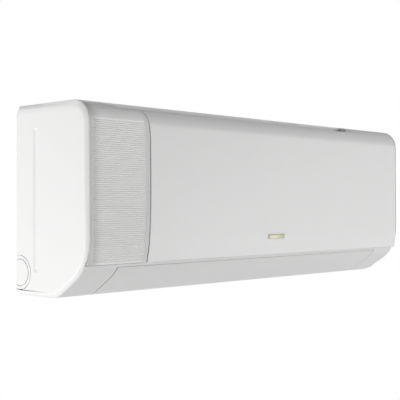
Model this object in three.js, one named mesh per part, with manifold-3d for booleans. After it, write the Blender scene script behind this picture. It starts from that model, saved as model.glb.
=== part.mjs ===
// The indoor unit of a split air conditioner, as it hangs on a wall.
// Lengths are in millimetres. The wall is the plane y = 0, x runs along it to the right,
// z is up, and the room is on the -y side, so a depth from the wall is a negative y.
// Most outlines are drawn as seen from the left end: depth to the right, height upwards.

import * as THREE from 'three';
import { mergeVertices } from 'three/addons/utils/BufferGeometryUtils.js';
import Module from 'manifold-3d';

const wasm = await Module();
wasm.setup();

// Overall size
const unitWidth = 870;
const unitHeight = 300;
const unitDepth = 174;

// Shared allowances
const skin = 2.5;
const seat = 0.3;
const overrun = 30;
const weld = 0.0001;
const bite = 1;
const pinPlay = 0.3;

// Outer outline, seen from the end
const rearGap = 0.4;
const rearTopRadius = 8;
const rearBottomRadius = 5;
const chinSetback = 75;
const chinLowerRadius = 50;
const chinCornerSetback = 18.4;
const chinCornerRise = 38.6;
const chinUpperRadius = 70;
const chinStep = 10.1;
const capCornerRise = 51.2;
const capCornerRadius = 77;
const panelRise = 52.5;
const toeSetback = 3;
const toeRadius = 2;
const bellyRise = 82;
const bellyRadius = 150;
const browSetback = 1.6;
const browRadius = 34;

// End caps
const capWidth = 6;
const endBevel = 4;
const bevelKneeShare = 0.25;
const frontBand = 8;
const topBand = 15;
const bottomBand = 8;
const sideGrooveDepth = 50;
const sideGrooveWidth = 11;
const sideGrooveSink = 0.8;
const sideGrooveFlank = 3;
const sideGrooveEndGap = 38;
const rearChamfer = 7;
const rearChamferLength = 66;
const knockoutRadius = 27.5;
const knockoutDepth = 10;
const knockoutRise = 36;
const knockoutGap = 0.6;
const knockoutRimWidth = 5;
const knockoutRimSink = 1.2;

// Front frame behind the panel
const frameInset = 16;
const flangeRearDepth = 60;
const brimSetback = 41.5;
const hingeSetback = 33;
const hingeDrop = 8;
const hingeEyeRadius = 4.6;
const hingePinRadius = 2.2;
const hingeBossHalf = 8;
const shelfThickness = 5.1;

// Notch in the panel's top edge, and the filter window below it
const notchLeftInset = 72;
const notchRightInset = 163;
const notchFlare = 8;
const notchDrop = 13.4;
const browWallDrop = 16;
const windowMargin = 14;
const windowRise = 128;
const railCover = 7.4;
const railSlotWidth = 4;
const railBack = 2;
const railLip = 3.5;
const railWeb = 5;
const railTopDrop = 22;

// Front panel
const panelThickness = 2.6;
const panelEdgeGap = 0.4;
const panelRibDepth = 9;
const lipWrapAngle = 0.6;
const ribbedWidth = 128.5;
const seamWidth = 2;
const seamLowRise = 165;
const seamLowRadius = 1000;
const seamHighDrop = 60;
const seamHighRadius = 170;
const insertBack = 5.4;
const insertDish = 2.8;
const insertLeftMargin = 15;
const insertRightMargin = 10;
const ribPitch = 3.5;
const ribDepth = 0.75;
const ribFieldRise = 8;
const ribFieldDrop = 27;
const badgeWidth = 45;
const badgeHeight = 8;
const badgeThickness = 0.9;
const badgeX = 12;
const badgeRise = 85.5;

// Top intake grille
const grilleRearDepth = 22;
const grilleFrontSetback = 50;
const grilleMargin = 6;
const grilleLedge = 4;
const slatPitch = 9.8;
const slatWidth = 2.2;
const slatHeight = 2.2;
const crossbarPitch = 150;
const crossbarWidth = 3;

// Wall plate
const plateThickness = 1.2;
const plateEndInset = 105;
const plateTopDrop = 44;
const plateBottomRise = 72;
const plateWindowWidth = 80;
const plateWindowShare = 0.25;
const plateHoleRadius = 3;
const hookWidth = 36;
const hookHeight = 9;
const hookEndInset = 185;

// Rear chassis
const backWallDepth = 8;
const sideWallInset = 65;
const rightBayWidth = 135;
const channelTopRise = 64;
const voluteGap = 5;
const voluteGrowth = 10;
const voluteStart = 2.44;
const voluteEnd = 4.05;
const ductFloorSetback = 3;
const scoopRadius = 33;
const scoopStart = 3.9;
const scoopEnd = 2.95;

// Cross-flow fan
const fanRadiusShare = 0.253;
const fanDepthShare = 0.437;
const fanRise = 88;
const bladeCount = 24;
const bladeChord = 11;
const bladeThickness = 1.3;
const bladeSweep = 0.16;
const discThickness = 1.6;
const discCount = 3;
const fanEndGap = 5;
const shaftRadius = 4;
const hubRadius = 12;
const hubLength = 12;
const shaftPlay = 0.35;
const bearingRadius = 12;
const bearingWidth = 7;

// Motor
const motorInset = 6;
const motorLength = 64;
const motorGap = 7;
const motorRound = 8;
const motorRingRadius = 13;
const motorRingWidth = 7;
const motorBossRadius = 10;
const motorBossLength = 8;
const bracketWidth = 14;
const bracketWall = 3;

// Coil
const coilThickness = 26;
const coilEndGap = 20;
const coilRightGap = 22;
const finCount = 20;
const finGroove = 1.4;
const sheetThickness = 1.4;
const bendRadius = 11;
const bendLapShare = 0.25;
const tubeRadius = 3.4;
const coilFilterGap = 5;
const coilFootRise = 122;
const coilKneeDrop = 100;
const coilPeakDrop = 20;
const coilPeakSetback = 86;
const coilRearDepth = 14;
const coilRearDrop = 100;

// Drain pan and outlet
const tongueGap = 5;
const tongueTopAngle = 0.62;
const tongueEndAngle = -0.34;
const panFrontGap = 6;
const panLipRise = 123.5;
const panFloorRise = 112;
const panWall = 2.2;
const panRibCount = 5;
const spoutRadius = 8;
const spoutLength = 9;

// Louver
const louverThickness = 3;
const louverGap = 0.4;
const louverRearSetback = 88;
const louverRearGap = 6;
const louverPivotSetback = 70;
const louverPivotRise = 26;
const louverPinRadius = 3;
const louverLugRadius = 6;
const louverLugWidth = 3.4;
const louverEndInset = 71.2;

// Vanes
const vaneCount = 8;
const vaneFirstInset = 66;
const vaneLastInset = 72;
const vaneThickness = 1.6;
const vaneRear = 12;
const vaneFront = 10;
const vaneTip = 32;
const vaneFoot = 5.4;
const vaneFrontCorner = 16;
const vaneTipFront = 2;
const vanePinRadius = 2;
const vaneBaseSetback = 40;
const railThickness = 3.4;
const railHalfWidth = 8;
const linkCrank = 9;
const linkLevel = 22;
const linkThickness = 1.6;
const linkHalfWidth = 3.4;
const linkPinRadius = 1.3;
const linkNotchPlay = 1.8;
const linkSlotPlay = 0.5;

// Filters
const filterThickness = 2.6;
const filterPlay = 0.5;
const filterFrame = 6;
const filterBar = 2;
const filterColumns = 5;
const filterRows = 3;
const filterMesh = 0.8;
const filterTopDrop = 17;
const filterTabWidth = 50;
const filterTabHeight = 5;

// Pipes at the rear
const suctionRadius = 4.8;
const liquidRadius = 3.2;
const pipeBend = 16;
const suctionDepth = 20;
const liquidDepth = 32;
const pipeInset = 18;
const pipeSpacing = 42;
const wallHolePlay = 1.5;
const suctionRise = 40;
const liquidRise = 22;
const suctionEndInset = 180;
const liquidEndInset = 140;
const nutRadius = 9;
const nutLength = 18;

// Electrics
const boxWidth = 108;
const boxRearDepth = 40;
const boxTopDrop = 20;
const boxMotorGap = 7;
const boxWall = 2;
const boardThickness = 1.6;
const boardGap = 6;
const boardCell = 12;
const coverThickness = 2;
const terminalWidth = 84;
const terminalHeight = 40;
const terminalDepth = 15;
const terminalCount = 4;
const terminalWall = 3.5;
const terminalEdge = 10;
const terminalRise = 84;
const terminalPlateSetback = 49;
const serviceWidth = 104;
const serviceHeight = 66;
const serviceRise = 66;
const serviceThickness = 2;
const serviceLedge = 4;
const buttonEndInset = 83;
const buttonDrop = 110;
const buttonRadius = 4;
const buttonTravel = 1.5;
const buttonFlange = 2;
const displayWidth = 62;
const displayHeight = 26;
const displayEndInset = 85;
const displayDrop = 68;
const displayThickness = 5;
const stepMotorRadius = 11;
const stepMotorLength = 17;
const stepMotorEar = 17;
const vaneMotorLength = 12;
const vaneMotorRadius = 10;

// Facet counts
const roundSides = 20;
const smallSides = 8;

// Places worked out from the sizes above
const halfWidth = unitWidth / 2;
const top = unitHeight / 2;
const bottom = -unitHeight / 2;
const capEdge = halfWidth - capWidth;
const panelHalf = capEdge - panelEdgeGap;
const hinge = { depth: unitDepth - hingeSetback, height: top - hingeDrop };
const brimDepth = unitDepth - brimSetback;
const grilleFrontDepth = unitDepth - grilleFrontSetback;
const fan = { depth: unitDepth * fanDepthShare, height: bottom + fanRise };
const fanRadius = unitDepth * fanRadiusShare;
const motorRadius = fanRadius - motorInset;
const leftWall = -halfWidth + sideWallInset;
const rightWall = halfWidth - rightBayWidth;
const notchLeft = -halfWidth + notchLeftInset;
const notchRight = halfWidth - notchRightInset;
const windowLeft = notchLeft + windowMargin;
const windowRight = notchRight - windowMargin;
const windowMiddle = (windowLeft + windowRight) / 2;
const windowBottom = bottom + windowRise;
const shelfHeight = bottom + panelRise - shelfThickness;
const louverHalf = halfWidth - louverEndInset - louverGap;
const louverPivot = { depth: unitDepth - louverPivotSetback, height: bottom + louverPivotRise };
const louverRearDepth = unitDepth - louverRearSetback;
const floorEndDepth = louverRearDepth - louverRearGap;
const ductFloorEndDepth = floorEndDepth - ductFloorSetback;
const panFrontDepth = unitDepth - frameInset - skin - panFrontGap;
const railFront = unitDepth - frameInset - browSetback;
const railSlotDepth = railFront - railCover - railSlotWidth;
const railDepth = railSlotDepth - railBack;
const coilFrontDepth = railDepth - coilFilterGap;
const vaneBaseDepth = unitDepth - vaneBaseSetback;
const terminalPlateDepth = unitDepth - terminalPlateSetback;
const seamX = -halfWidth + ribbedWidth;
const plateHalfWidth = halfWidth - plateEndInset;
const hookX = halfWidth - hookEndInset;
const pipeX = rightWall + pipeInset;
const suctionEndX = leftWall + suctionEndInset;
const liquidEndX = leftWall + liquidEndInset;
const buttonX = halfWidth - buttonEndInset;
const displayX = halfWidth - displayEndInset;
const coilLeft = leftWall + skin + coilEndGap;
const coilRight = rightWall - coilRightGap;

// Materials, as colour, roughness and metalness
function material(color, roughness, metalness) {
  return new THREE.MeshStandardMaterial({ color, roughness, metalness });
}

const whitePlastic = material(0xf1f1ee, 0.42, 0);
const ribbedPlastic = material(0xe9e8e6, 0.5, 0);
const greyPlastic = material(0xc9cac8, 0.55, 0);
const darkPlastic = material(0x3a3c3f, 0.5, 0);
const fanPlastic = material(0x6f7478, 0.5, 0);
const zincSteel = material(0xb7babd, 0.38, 0.9);
const aluminium = material(0xd2d5d8, 0.4, 0.9);
const copper = material(0xc57b4e, 0.3, 1);
const brass = material(0xc2a14e, 0.32, 1);
const rubber = material(0x26272a, 0.85, 0);
const champagne = material(0xc8ab74, 0.35, 0.8);
const boardGreen = material(0x3d6b4a, 0.55, 0);
const filterBlue = material(0x8fa3ad, 0.6, 0);

// Solids and meshes

function toSolid(geometry) {
  const bare = geometry.clone();
  bare.deleteAttribute('normal');
  bare.deleteAttribute('uv');
  const merged = mergeVertices(bare, weld);
  return new wasm.Manifold(new wasm.Mesh({
    numProp: 3,
    vertProperties: Float32Array.from(merged.attributes.position.array),
    triVerts: Uint32Array.from(merged.index.array),
  }));
}

function toGeometry(solid) {
  const mesh = solid.getMesh();
  const geometry = new THREE.BufferGeometry();
  geometry.setAttribute('position', new THREE.BufferAttribute(mesh.vertProperties, 3));
  geometry.setIndex(new THREE.BufferAttribute(mesh.triVerts, 1));
  geometry.computeVertexNormals();
  return geometry;
}

function join(solids) {
  return solids.reduce((whole, solid) => whole.add(solid));
}

function cut(solid, tools) {
  return tools.reduce((rest, tool) => rest.subtract(tool), solid);
}

// A solid whose end view is the given outline, from one x to another.
function slab(points, xLow, xHigh) {
  const shape = new THREE.Shape(points);
  const geometry = new THREE.ExtrudeGeometry(shape, { depth: xHigh - xLow, bevelEnabled: false });
  const frame = new THREE.Matrix4().makeBasis(
    new THREE.Vector3(0, -1, 0),
    new THREE.Vector3(0, 0, 1),
    new THREE.Vector3(-1, 0, 0),
  );
  frame.setPosition(xHigh, 0, 0);
  return toSolid(geometry.applyMatrix4(frame));
}

// A solid skinned over end-view outlines that all have the same number of points.
// A ring may be bowed: then its points move to the left by an amount that depends on their height.
function loft(rings) {
  const noBow = () => 0;
  const positions = rings.flatMap(({ x, points, bow = noBow }) => points.flatMap((p) => [x - bow(p.y), -p.x, p.y]));
  const count = rings[0].points.length;
  const last = (rings.length - 1) * count;
  const indices = [];
  for (let r = 0; r < rings.length - 1; r += 1) {
    for (let j = 0; j < count; j += 1) {
      const k = (j + 1) % count;
      const low = r * count;
      const high = low + count;
      indices.push(low + k, low + j, high + j, low + k, high + j, high + k);
    }
  }
  const startCap = THREE.ShapeUtils.triangulateShape(rings[0].points, []);
  const endCap = THREE.ShapeUtils.triangulateShape(rings[rings.length - 1].points, []);
  startCap.forEach(([a, b, c]) => indices.push(a, b, c));
  endCap.forEach(([a, b, c]) => indices.push(last + a, last + c, last + b));
  const geometry = new THREE.BufferGeometry();
  geometry.setAttribute('position', new THREE.Float32BufferAttribute(positions, 3));
  geometry.setIndex(indices);
  return toSolid(geometry);
}

// A box between two x values, two depths and two heights.
function block(x, depth, height) {
  const size = [x[1] - x[0], depth[1] - depth[0], height[1] - height[0]];
  const geometry = new THREE.BoxGeometry(...size);
  geometry.translate((x[0] + x[1]) / 2, -(depth[0] + depth[1]) / 2, (height[0] + height[1]) / 2);
  return toSolid(geometry);
}

// A round bar along x.
function barAlongX(x, centre, radius, sides = roundSides) {
  const geometry = new THREE.CylinderGeometry(radius, radius, x[1] - x[0], sides);
  geometry.rotateZ(Math.PI / 2);
  geometry.translate((x[0] + x[1]) / 2, -centre.depth, centre.height);
  return toSolid(geometry);
}

// A round bar along the depth.
function barAlongDepth(x, depth, height, radius, sides = smallSides) {
  const geometry = new THREE.CylinderGeometry(radius, radius, depth[1] - depth[0], sides);
  geometry.translate(x, -(depth[0] + depth[1]) / 2, height);
  return toSolid(geometry);
}

function point(depth, height) {
  return new THREE.Vector2(depth, height);
}

// Outlines with rounded corners, set inwards edge by edge

function meeting(lineA, lineB) {
  const gap = lineB.from.clone().sub(lineA.from);
  const share = gap.cross(lineB.along) / lineA.along.cross(lineB.along);
  return lineA.from.clone().addScaledVector(lineA.along, share);
}

function cornerArc(before, after, corner, inset) {
  const apex = meeting(before, after);
  if (corner.steps === 0) {
    return [apex];
  }
  const angle = Math.atan2(before.along.cross(after.along), before.along.dot(after.along));
  const side = Math.sign(angle);
  const radius = Math.max(corner.radius - side * inset, seat);
  const start = apex.clone().addScaledVector(before.along, -radius * Math.tan(Math.abs(angle) / 2));
  const centre = start.clone().addScaledVector(before.inward, side * radius);
  const points = [];
  for (let k = 0; k <= corner.steps; k += 1) {
    points.push(start.clone().rotateAround(centre, angle * k / corner.steps));
  }
  return points;
}

function roundedOutline(corners, insets) {
  const count = corners.length;
  const edges = corners.map((corner, i) => {
    const next = corners[(i + 1) % count];
    const along = point(next.depth - corner.depth, next.height - corner.height).normalize();
    const inward = point(-along.y, along.x);
    const from = point(corner.depth, corner.height).addScaledVector(inward, insets[i]);
    return { along, inward, from };
  });
  return corners.flatMap((corner, i) => {
    const previous = (i + count - 1) % count;
    const inset = (insets[previous] + insets[i]) / 2;
    return cornerArc(edges[previous], edges[i], corner, inset);
  });
}

const outlineCorners = [
  { depth: rearGap, height: bottom, radius: rearBottomRadius, steps: 2 },
  { depth: unitDepth - chinSetback, height: bottom, radius: chinLowerRadius, steps: 4 },
  { depth: unitDepth - chinCornerSetback, height: bottom + chinCornerRise, radius: chinUpperRadius, steps: 3 },
  { depth: unitDepth - chinStep, height: bottom + panelRise, radius: 0, steps: 0 },
  { depth: unitDepth - toeSetback, height: bottom + panelRise, radius: toeRadius, steps: 2 },
  { depth: unitDepth, height: bottom + bellyRise, radius: bellyRadius, steps: 2 },
  { depth: unitDepth - browSetback, height: top, radius: browRadius, steps: 7 },
  { depth: rearGap, height: top, radius: rearTopRadius, steps: 2 },
];

// The end caps have no step under the panel: one wide corner joins their chin to their front.
const capCorners = [
  ...outlineCorners.slice(0, 2),
  { depth: unitDepth, height: bottom + capCornerRise, radius: capCornerRadius, steps: 7 },
  ...outlineCorners.slice(-2),
];

// The unit's outline, drawn in by one inset for each group of edges.
function outline({ bottomIn, chinIn, frontIn, topIn, rearIn }) {
  const insets = [bottomIn, chinIn, chinIn, frontIn, frontIn, frontIn, topIn, rearIn];
  return roundedOutline(outlineCorners, insets);
}

function evenOutline(inset, rearIn = inset) {
  return outline({ bottomIn: inset, chinIn: inset, frontIn: inset, topIn: inset, rearIn });
}

function capOutline(share, inset, rearIn) {
  const bottomIn = share * bottomBand + inset;
  const frontIn = share * frontBand + inset;
  const topIn = share * topBand + inset;
  return roundedOutline(capCorners, [bottomIn, bottomIn, frontIn, topIn, rearIn]);
}

// The wall between two insets of the outline, open at the rear.
function band(outerInset, innerInset, x) {
  const outer = slab(evenOutline(outerInset, 0), x[0], x[1]);
  const inner = slab(evenOutline(innerInset, -overrun), x[0] - bite, x[1] + bite);
  return outer.subtract(inner);
}

// The front's own line, carried straight down past the step above the chin.
const frontFoot = bottom + panelRise - frameInset;
const frontCorners = [
  { depth: rearGap, height: frontFoot, radius: 0, steps: 0 },
  { depth: frontDepthAt(frontFoot), height: frontFoot, radius: 0, steps: 0 },
  ...outlineCorners.slice(-3),
];

function frontDepthAt(height) {
  const share = (height - bottom - panelRise) / (bellyRise - panelRise);
  return unitDepth - toeSetback * (1 - Math.min(share, 1));
}

function frontSheet(outerInset, innerInset, x) {
  const outer = roundedOutline(frontCorners, [0, outerInset, outerInset, outerInset, 0]);
  const inner = roundedOutline(frontCorners, [-bite, innerInset, innerInset, innerInset, -overrun]);
  return slab(outer, x[0], x[1]).subtract(slab(inner, x[0] - bite, x[1] + bite));
}

// Front casing

function endCapShell() {
  const face = -halfWidth;
  const outer = loft([
    { x: face, points: capOutline(1, 0, 0) },
    { x: face + endBevel * bevelKneeShare, points: capOutline(1 / 2, 0, 0) },
    { x: face + endBevel, points: capOutline(0, 0, 0) },
    { x: face + capWidth, points: capOutline(0, 0, 0) },
  ]);
  const inner = loft([
    { x: face + skin, points: capOutline(1, skin, -overrun) },
    { x: face + skin + endBevel, points: capOutline(0, skin, -overrun) },
    { x: face + capWidth + bite, points: capOutline(0, skin, -overrun) },
  ]);
  return outer.subtract(inner);
}

function capFlange() {
  const x = [-capEdge - skin, -capEdge];
  const outer = slab(capOutline(0, skin / 2, 0), x[0], x[1]);
  const inner = slab(capOutline(0, frameInset + skin, -overrun), x[0] - bite, x[1] + bite);
  const front = block([x[0] - bite, x[1] + bite], [flangeRearDepth, unitDepth], [bottom, top]);
  return outer.subtract(inner).intersect(front);
}

function hingeBoss() {
  const x = [-halfWidth + skin, -capEdge];
  const depth = [hinge.depth - hingeBossHalf, hinge.depth + hingeBossHalf];
  const height = [hinge.height - hingeBossHalf, top - skin / 2];
  return block(x, depth, height);
}

function hingeBore() {
  return barAlongX([-halfWidth + skin + bite, -capEdge + overrun], hinge, hingePinRadius + pinPlay, smallSides);
}

// A shallow upright groove whose flanks slope to a flat floor.
function sideGroove() {
  const half = sideGrooveWidth / 2;
  const low = bottom + sideGrooveEndGap;
  const high = top - sideGrooveEndGap;
  const ring = (inset) => [
    point(sideGrooveDepth - half + inset, low + inset),
    point(sideGrooveDepth + half - inset, low + inset),
    point(sideGrooveDepth + half - inset, high - inset),
    point(sideGrooveDepth - half + inset, high - inset),
  ];
  return loft([
    { x: -halfWidth - sideGrooveSink, points: ring(-sideGrooveFlank) },
    { x: -halfWidth + sideGrooveSink, points: ring(sideGrooveFlank) },
  ]);
}

function rearChamferCutter() {
  const face = -halfWidth;
  const corner = new THREE.Shape([
    point(face - bite, top - topBand + rearChamfer),
    point(face, top - topBand + rearChamfer),
    point(face + rearChamfer, top + bite),
    point(face - bite, top + bite),
  ]);
  const geometry = new THREE.ExtrudeGeometry(corner, { depth: rearChamferLength + overrun, bevelEnabled: false });
  geometry.rotateX(Math.PI / 2);
  geometry.translate(0, overrun, 0);
  return toSolid(geometry);
}

const knockout = { depth: knockoutDepth, height: bottom + knockoutRise };

function knockoutHole() {
  return barAlongX([-halfWidth - bite, -halfWidth + capWidth / 2], knockout, knockoutRadius);
}

function endCap() {
  const body = join([endCapShell(), capFlange(), hingeBoss()]);
  return cut(body, [hingeBore(), sideGroove(), knockoutHole()]);
}

function chinEnd() {
  const x = [-capEdge - bite, -louverHalf - louverGap];
  const below = block([x[0] - bite, x[1] + bite], [-bite, unitDepth], [bottom - bite, bottom + panelRise - seat]);
  const wall = band(0, skin, x).intersect(below);
  const sheet = [-louverHalf - louverGap - skin, -louverHalf - louverGap];
  const closing = slab(evenOutline(skin / 2, 0), sheet[0], sheet[1]);
  const across = [sheet[0] - bite, sheet[1] + bite];
  const front = block(across, [floorEndDepth + bite, unitDepth], [bottom - bite, shelfHeight - seat])
    .add(block(across, [panFrontDepth + seat, unitDepth], [bottom - bite, bottom + panelRise - skin]));
  const fanRoom = barAlongX(across, fan, fanRadius + voluteGap);
  const bore = barAlongX([x[0], x[1] + bite], louverPivot, louverPinRadius + pinPlay, smallSides);
  return wall.add(closing.intersect(front).subtract(fanRoom)).subtract(bore);
}

function topWall() {
  const wall = block([-capEdge - bite, capEdge + bite], [rearGap, brimDepth], [top - skin, top]);
  const brim = block([notchLeft + notchFlare, notchRight - notchFlare], [brimDepth - skin, hinge.depth],
    [top - skin, top]);
  const brow = block([notchLeft + notchFlare, notchRight - notchFlare], [hinge.depth - skin, hinge.depth],
    [top - browWallDrop, top]);
  const collar = block([notchLeft - grilleMargin, notchRight + grilleMargin],
    [grilleRearDepth - grilleMargin, grilleFrontDepth + grilleMargin], [top - 2 * skin, top]);
  return join([wall, brim, brow, collar]);
}

function grillePocket() {
  const pocket = block([notchLeft - seat, notchRight + seat],
    [grilleRearDepth - seat, grilleFrontDepth + seat], [top - slatHeight - seat, top + bite]);
  const opening = block([notchLeft + grilleLedge, notchRight - grilleLedge],
    [grilleRearDepth + grilleLedge, grilleFrontDepth - grilleLedge], [top - overrun, top + bite]);
  return pocket.add(opening);
}

function frameBand() {
  const x = [-capEdge - bite, capEdge + bite];
  const reach = block([x[0] - bite, x[1] + bite], [brimDepth - skin, unitDepth], [bottom + panelRise - skin, top]);
  const face = frontSheet(frameInset, frameInset + skin, x).intersect(reach);
  const riser = block(x, [brimDepth - skin, brimDepth], [top - frameInset - skin, top - skin / 2]);
  return face.add(riser);
}

function filterWindow() {
  return block([windowLeft, windowRight], [brimDepth + seat, unitDepth], [windowBottom, top - skin - seat]);
}

function outletShelf() {
  const depth = [panFrontDepth + seat, unitDepth - chinStep];
  const height = [shelfHeight, bottom + panelRise - seat];
  const lip = block([-capEdge - bite, capEdge + bite], depth, height);
  return lip.intersect(slab(evenOutline(0), -capEdge - bite, capEdge + bite));
}

const railHeight = [windowBottom - railSlotWidth, top - railTopDrop];

function filterRail(x) {
  return block(x, [railDepth, railFront], railHeight);
}

function filterSlot(x) {
  const depth = [railSlotDepth, railSlotDepth + railSlotWidth];
  return block(x, depth, [windowBottom, top + bite]);
}

function filterRails() {
  const web = railWeb / 2;
  const outer = web + railLip;
  const left = filterRail([windowLeft - railLip - skin, windowLeft + skin]);
  const right = filterRail([windowRight - skin, windowRight + railLip + skin]);
  const middle = filterRail([windowMiddle - outer, windowMiddle + outer]);
  const hanger = block([windowMiddle - web, windowMiddle + web], [hinge.depth - skin, railDepth + bite],
    [top - railTopDrop - browWallDrop, top - browWallDrop + skin]);
  return cut(join([left, right, middle, hanger]), filterSlots());
}

function filterSlots() {
  const web = railWeb / 2;
  return [
    filterSlot([windowLeft - railLip, windowMiddle - web]),
    filterSlot([windowMiddle + web, windowRight + railLip]),
  ];
}

const service = {
  x: [(rightWall + capEdge - serviceWidth) / 2, (rightWall + capEdge + serviceWidth) / 2],
  height: [bottom + serviceRise, bottom + serviceRise + serviceHeight],
};

function serviceOpening() {
  return block([service.x[0] + serviceLedge, service.x[1] - serviceLedge], [brimDepth, unitDepth],
    [service.height[0] + serviceLedge, service.height[1] - serviceLedge]);
}

function buttonBore() {
  return barAlongDepth(buttonX, [brimDepth, unitDepth], top - buttonDrop, buttonRadius + pinPlay, roundSides);
}

function frontCasing() {
  const left = endCap().add(chinEnd());
  const right = left.mirror([1, 0, 0]);
  const frame = cut(frameBand(), [filterWindow(), serviceOpening(), buttonBore(), ...filterSlots()]);
  const middle = join([frame, filterRails(), outletShelf(), topWall().subtract(grillePocket())]);
  return cut(join([left, right, middle]), [rearChamferCutter(), rearChamferCutter().mirror([1, 0, 0])]);
}

function topGrille() {
  const x = [notchLeft, notchRight];
  const depth = [grilleRearDepth, grilleFrontDepth];
  const height = [top - slatHeight, top];
  const plate = block(x, depth, height);
  const rim = grilleLedge + slatWidth;
  const clear = { x: [x[0] + rim, x[1] - rim], depth: [depth[0] + rim, depth[1] - rim] };
  const columns = Math.round((clear.x[1] - clear.x[0]) / crossbarPitch);
  const rows = Math.round((clear.depth[1] - clear.depth[0]) / slatPitch);
  const columnStep = (clear.x[1] - clear.x[0] + crossbarWidth) / columns;
  const rowStep = (clear.depth[1] - clear.depth[0] + slatWidth) / rows;
  const through = [height[0] - bite, height[1] + bite];
  const slots = [];
  for (let i = 0; i < columns; i += 1) {
    for (let j = 0; j < rows; j += 1) {
      const slotX = clear.x[0] + i * columnStep;
      const slotDepth = clear.depth[0] + j * rowStep;
      const across = [slotX, slotX + columnStep - crossbarWidth];
      slots.push(block(across, [slotDepth, slotDepth + rowStep - slatWidth], through));
    }
  }
  return cut(plate, slots);
}

function knockoutCover(face) {
  const radius = knockoutRadius - knockoutGap;
  const outer = barAlongX([face, face + skin], knockout, radius);
  const rimRadius = radius - knockoutRimWidth;
  const groove = barAlongX([face - bite, face + knockoutRimSink], knockout, rimRadius)
    .subtract(barAlongX([face - overrun, face + overrun], knockout, rimRadius - knockoutRimSink));
  const rear = block([face - overrun, face + overrun], [-overrun, rearGap], [bottom - overrun, top]);
  return cut(outer, [groove, rear]);
}

// Front panel

const bedTop = insertBack + seat;

function panelRegion(x) {
  const low = bottom + panelRise;
  return slab([
    point(hinge.depth, hinge.height - bite),
    point(hinge.depth + browRadius / 2, top - browRadius),
    point(unitDepth - frameInset + seat, low),
    point(unitDepth + bite, low),
    point(unitDepth + bite, top + bite),
    point(hinge.depth, top + bite),
  ], x[0], x[1]);
}

function panelBand(outerInset, innerInset, x) {
  const wall = slab(evenOutline(outerInset), x[0], x[1])
    .subtract(slab(evenOutline(innerInset, -overrun), x[0] - bite, x[1] + bite));
  return wall.intersect(panelRegion([x[0] - bite, x[1] + bite]));
}

// The rear edge of the panel curls back round its hinge line, from a root at the given height.
function panelLip(x, rootTop) {
  const steps = 4;
  const inner = hingeDrop - panelThickness;
  const points = [
    point(hinge.depth + seat, rootTop - panelThickness),
    point(hinge.depth + seat, rootTop),
    point(hinge.depth, rootTop),
  ];
  for (let k = 0; k <= steps; k += 1) {
    const angle = (lipWrapAngle * k) / steps;
    points.push(point(hinge.depth - hingeDrop * Math.sin(angle), hinge.height + hingeDrop * Math.cos(angle)));
  }
  points.push(point(hinge.depth - inner * Math.sin(lipWrapAngle), hinge.height + inner * Math.cos(lipWrapAngle)));
  points.push(point(hinge.depth, rootTop - panelThickness));
  return slab(points, x[0], x[1]);
}

function hingeLug() {
  const x = [-panelHalf, -panelHalf + panelThickness];
  const underInsert = slab(evenOutline(bedTop), x[0] - bite, x[1] + bite);
  const eye = barAlongX(x, hinge, hingeEyeRadius, roundSides).intersect(underInsert);
  const web = slab([
    point(hinge.depth - hingeEyeRadius, hinge.height),
    point(hinge.depth, hinge.height - hingeEyeRadius),
    point(hinge.depth + browRadius, hinge.height - browRadius),
    point(hinge.depth + browRadius, top),
    point(hinge.depth - hingeEyeRadius, top),
  ], x[0], x[1]).intersect(frontSheet(bedTop + seat, frameInset - 2 * seat, [x[0] - bite, x[1] + bite]));
  const pin = barAlongX([-halfWidth + skin + bite + seat, x[0] + bite], hinge, hingePinRadius, smallSides);
  return join([eye, web, pin]);
}

function notchCutter() {
  const wide = notchFlare;
  const shape = new THREE.Shape([
    point(notchLeft + wide, -hinge.depth + overrun),
    point(notchLeft + wide, -hinge.depth),
    point(notchLeft, -unitDepth + notchDrop),
    point(notchLeft - wide, -unitDepth - bite),
    point(notchRight + wide, -unitDepth - bite),
    point(notchRight, -unitDepth + notchDrop),
    point(notchRight - wide, -hinge.depth),
    point(notchRight - wide, -hinge.depth + overrun),
  ]);
  const geometry = new THREE.ExtrudeGeometry(shape, { depth: notchDrop + overrun, bevelEnabled: false });
  geometry.translate(0, 0, top - notchDrop);
  return toSolid(geometry);
}

// The seam between the insert and the flat panel is straight in the middle and bows to the left
// towards both ends.
const seamLow = bottom + seamLowRise;
const seamHigh = top - seamHighDrop;

function seamBow(height) {
  const below = Math.max(seamLow - height, 0);
  const above = Math.max(height - seamHigh, 0);
  return seamLowRadius - Math.sqrt(seamLowRadius ** 2 - below ** 2)
    + seamHighRadius - Math.sqrt(seamHighRadius ** 2 - above ** 2);
}

function seamHeights() {
  const steps = 4;
  const low = bottom + panelRise;
  const shares = Array.from({ length: steps + 1 }, (_, k) => k / steps);
  return [
    ...shares.map((share) => low + (seamLow - low) * share),
    ...shares.map((share) => seamHigh + (top - seamHigh) * share),
  ];
}

// All that lies left of the seam, moved to the right by an offset, in front of the hinge line.
function leftOfSeam(offset) {
  const heights = [bottom + panelRise - bite, ...seamHeights(), top + bite];
  const shape = new THREE.Shape([
    point(-halfWidth - bite, top + bite),
    point(-halfWidth - bite, bottom + panelRise - bite),
    ...heights.map((height) => point(seamX + offset - seamBow(height), height)),
  ]);
  const geometry = new THREE.ExtrudeGeometry(shape, { depth: unitDepth, bevelEnabled: false });
  geometry.rotateX(Math.PI / 2);
  geometry.translate(0, -hinge.depth, 0);
  return toSolid(geometry);
}

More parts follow.
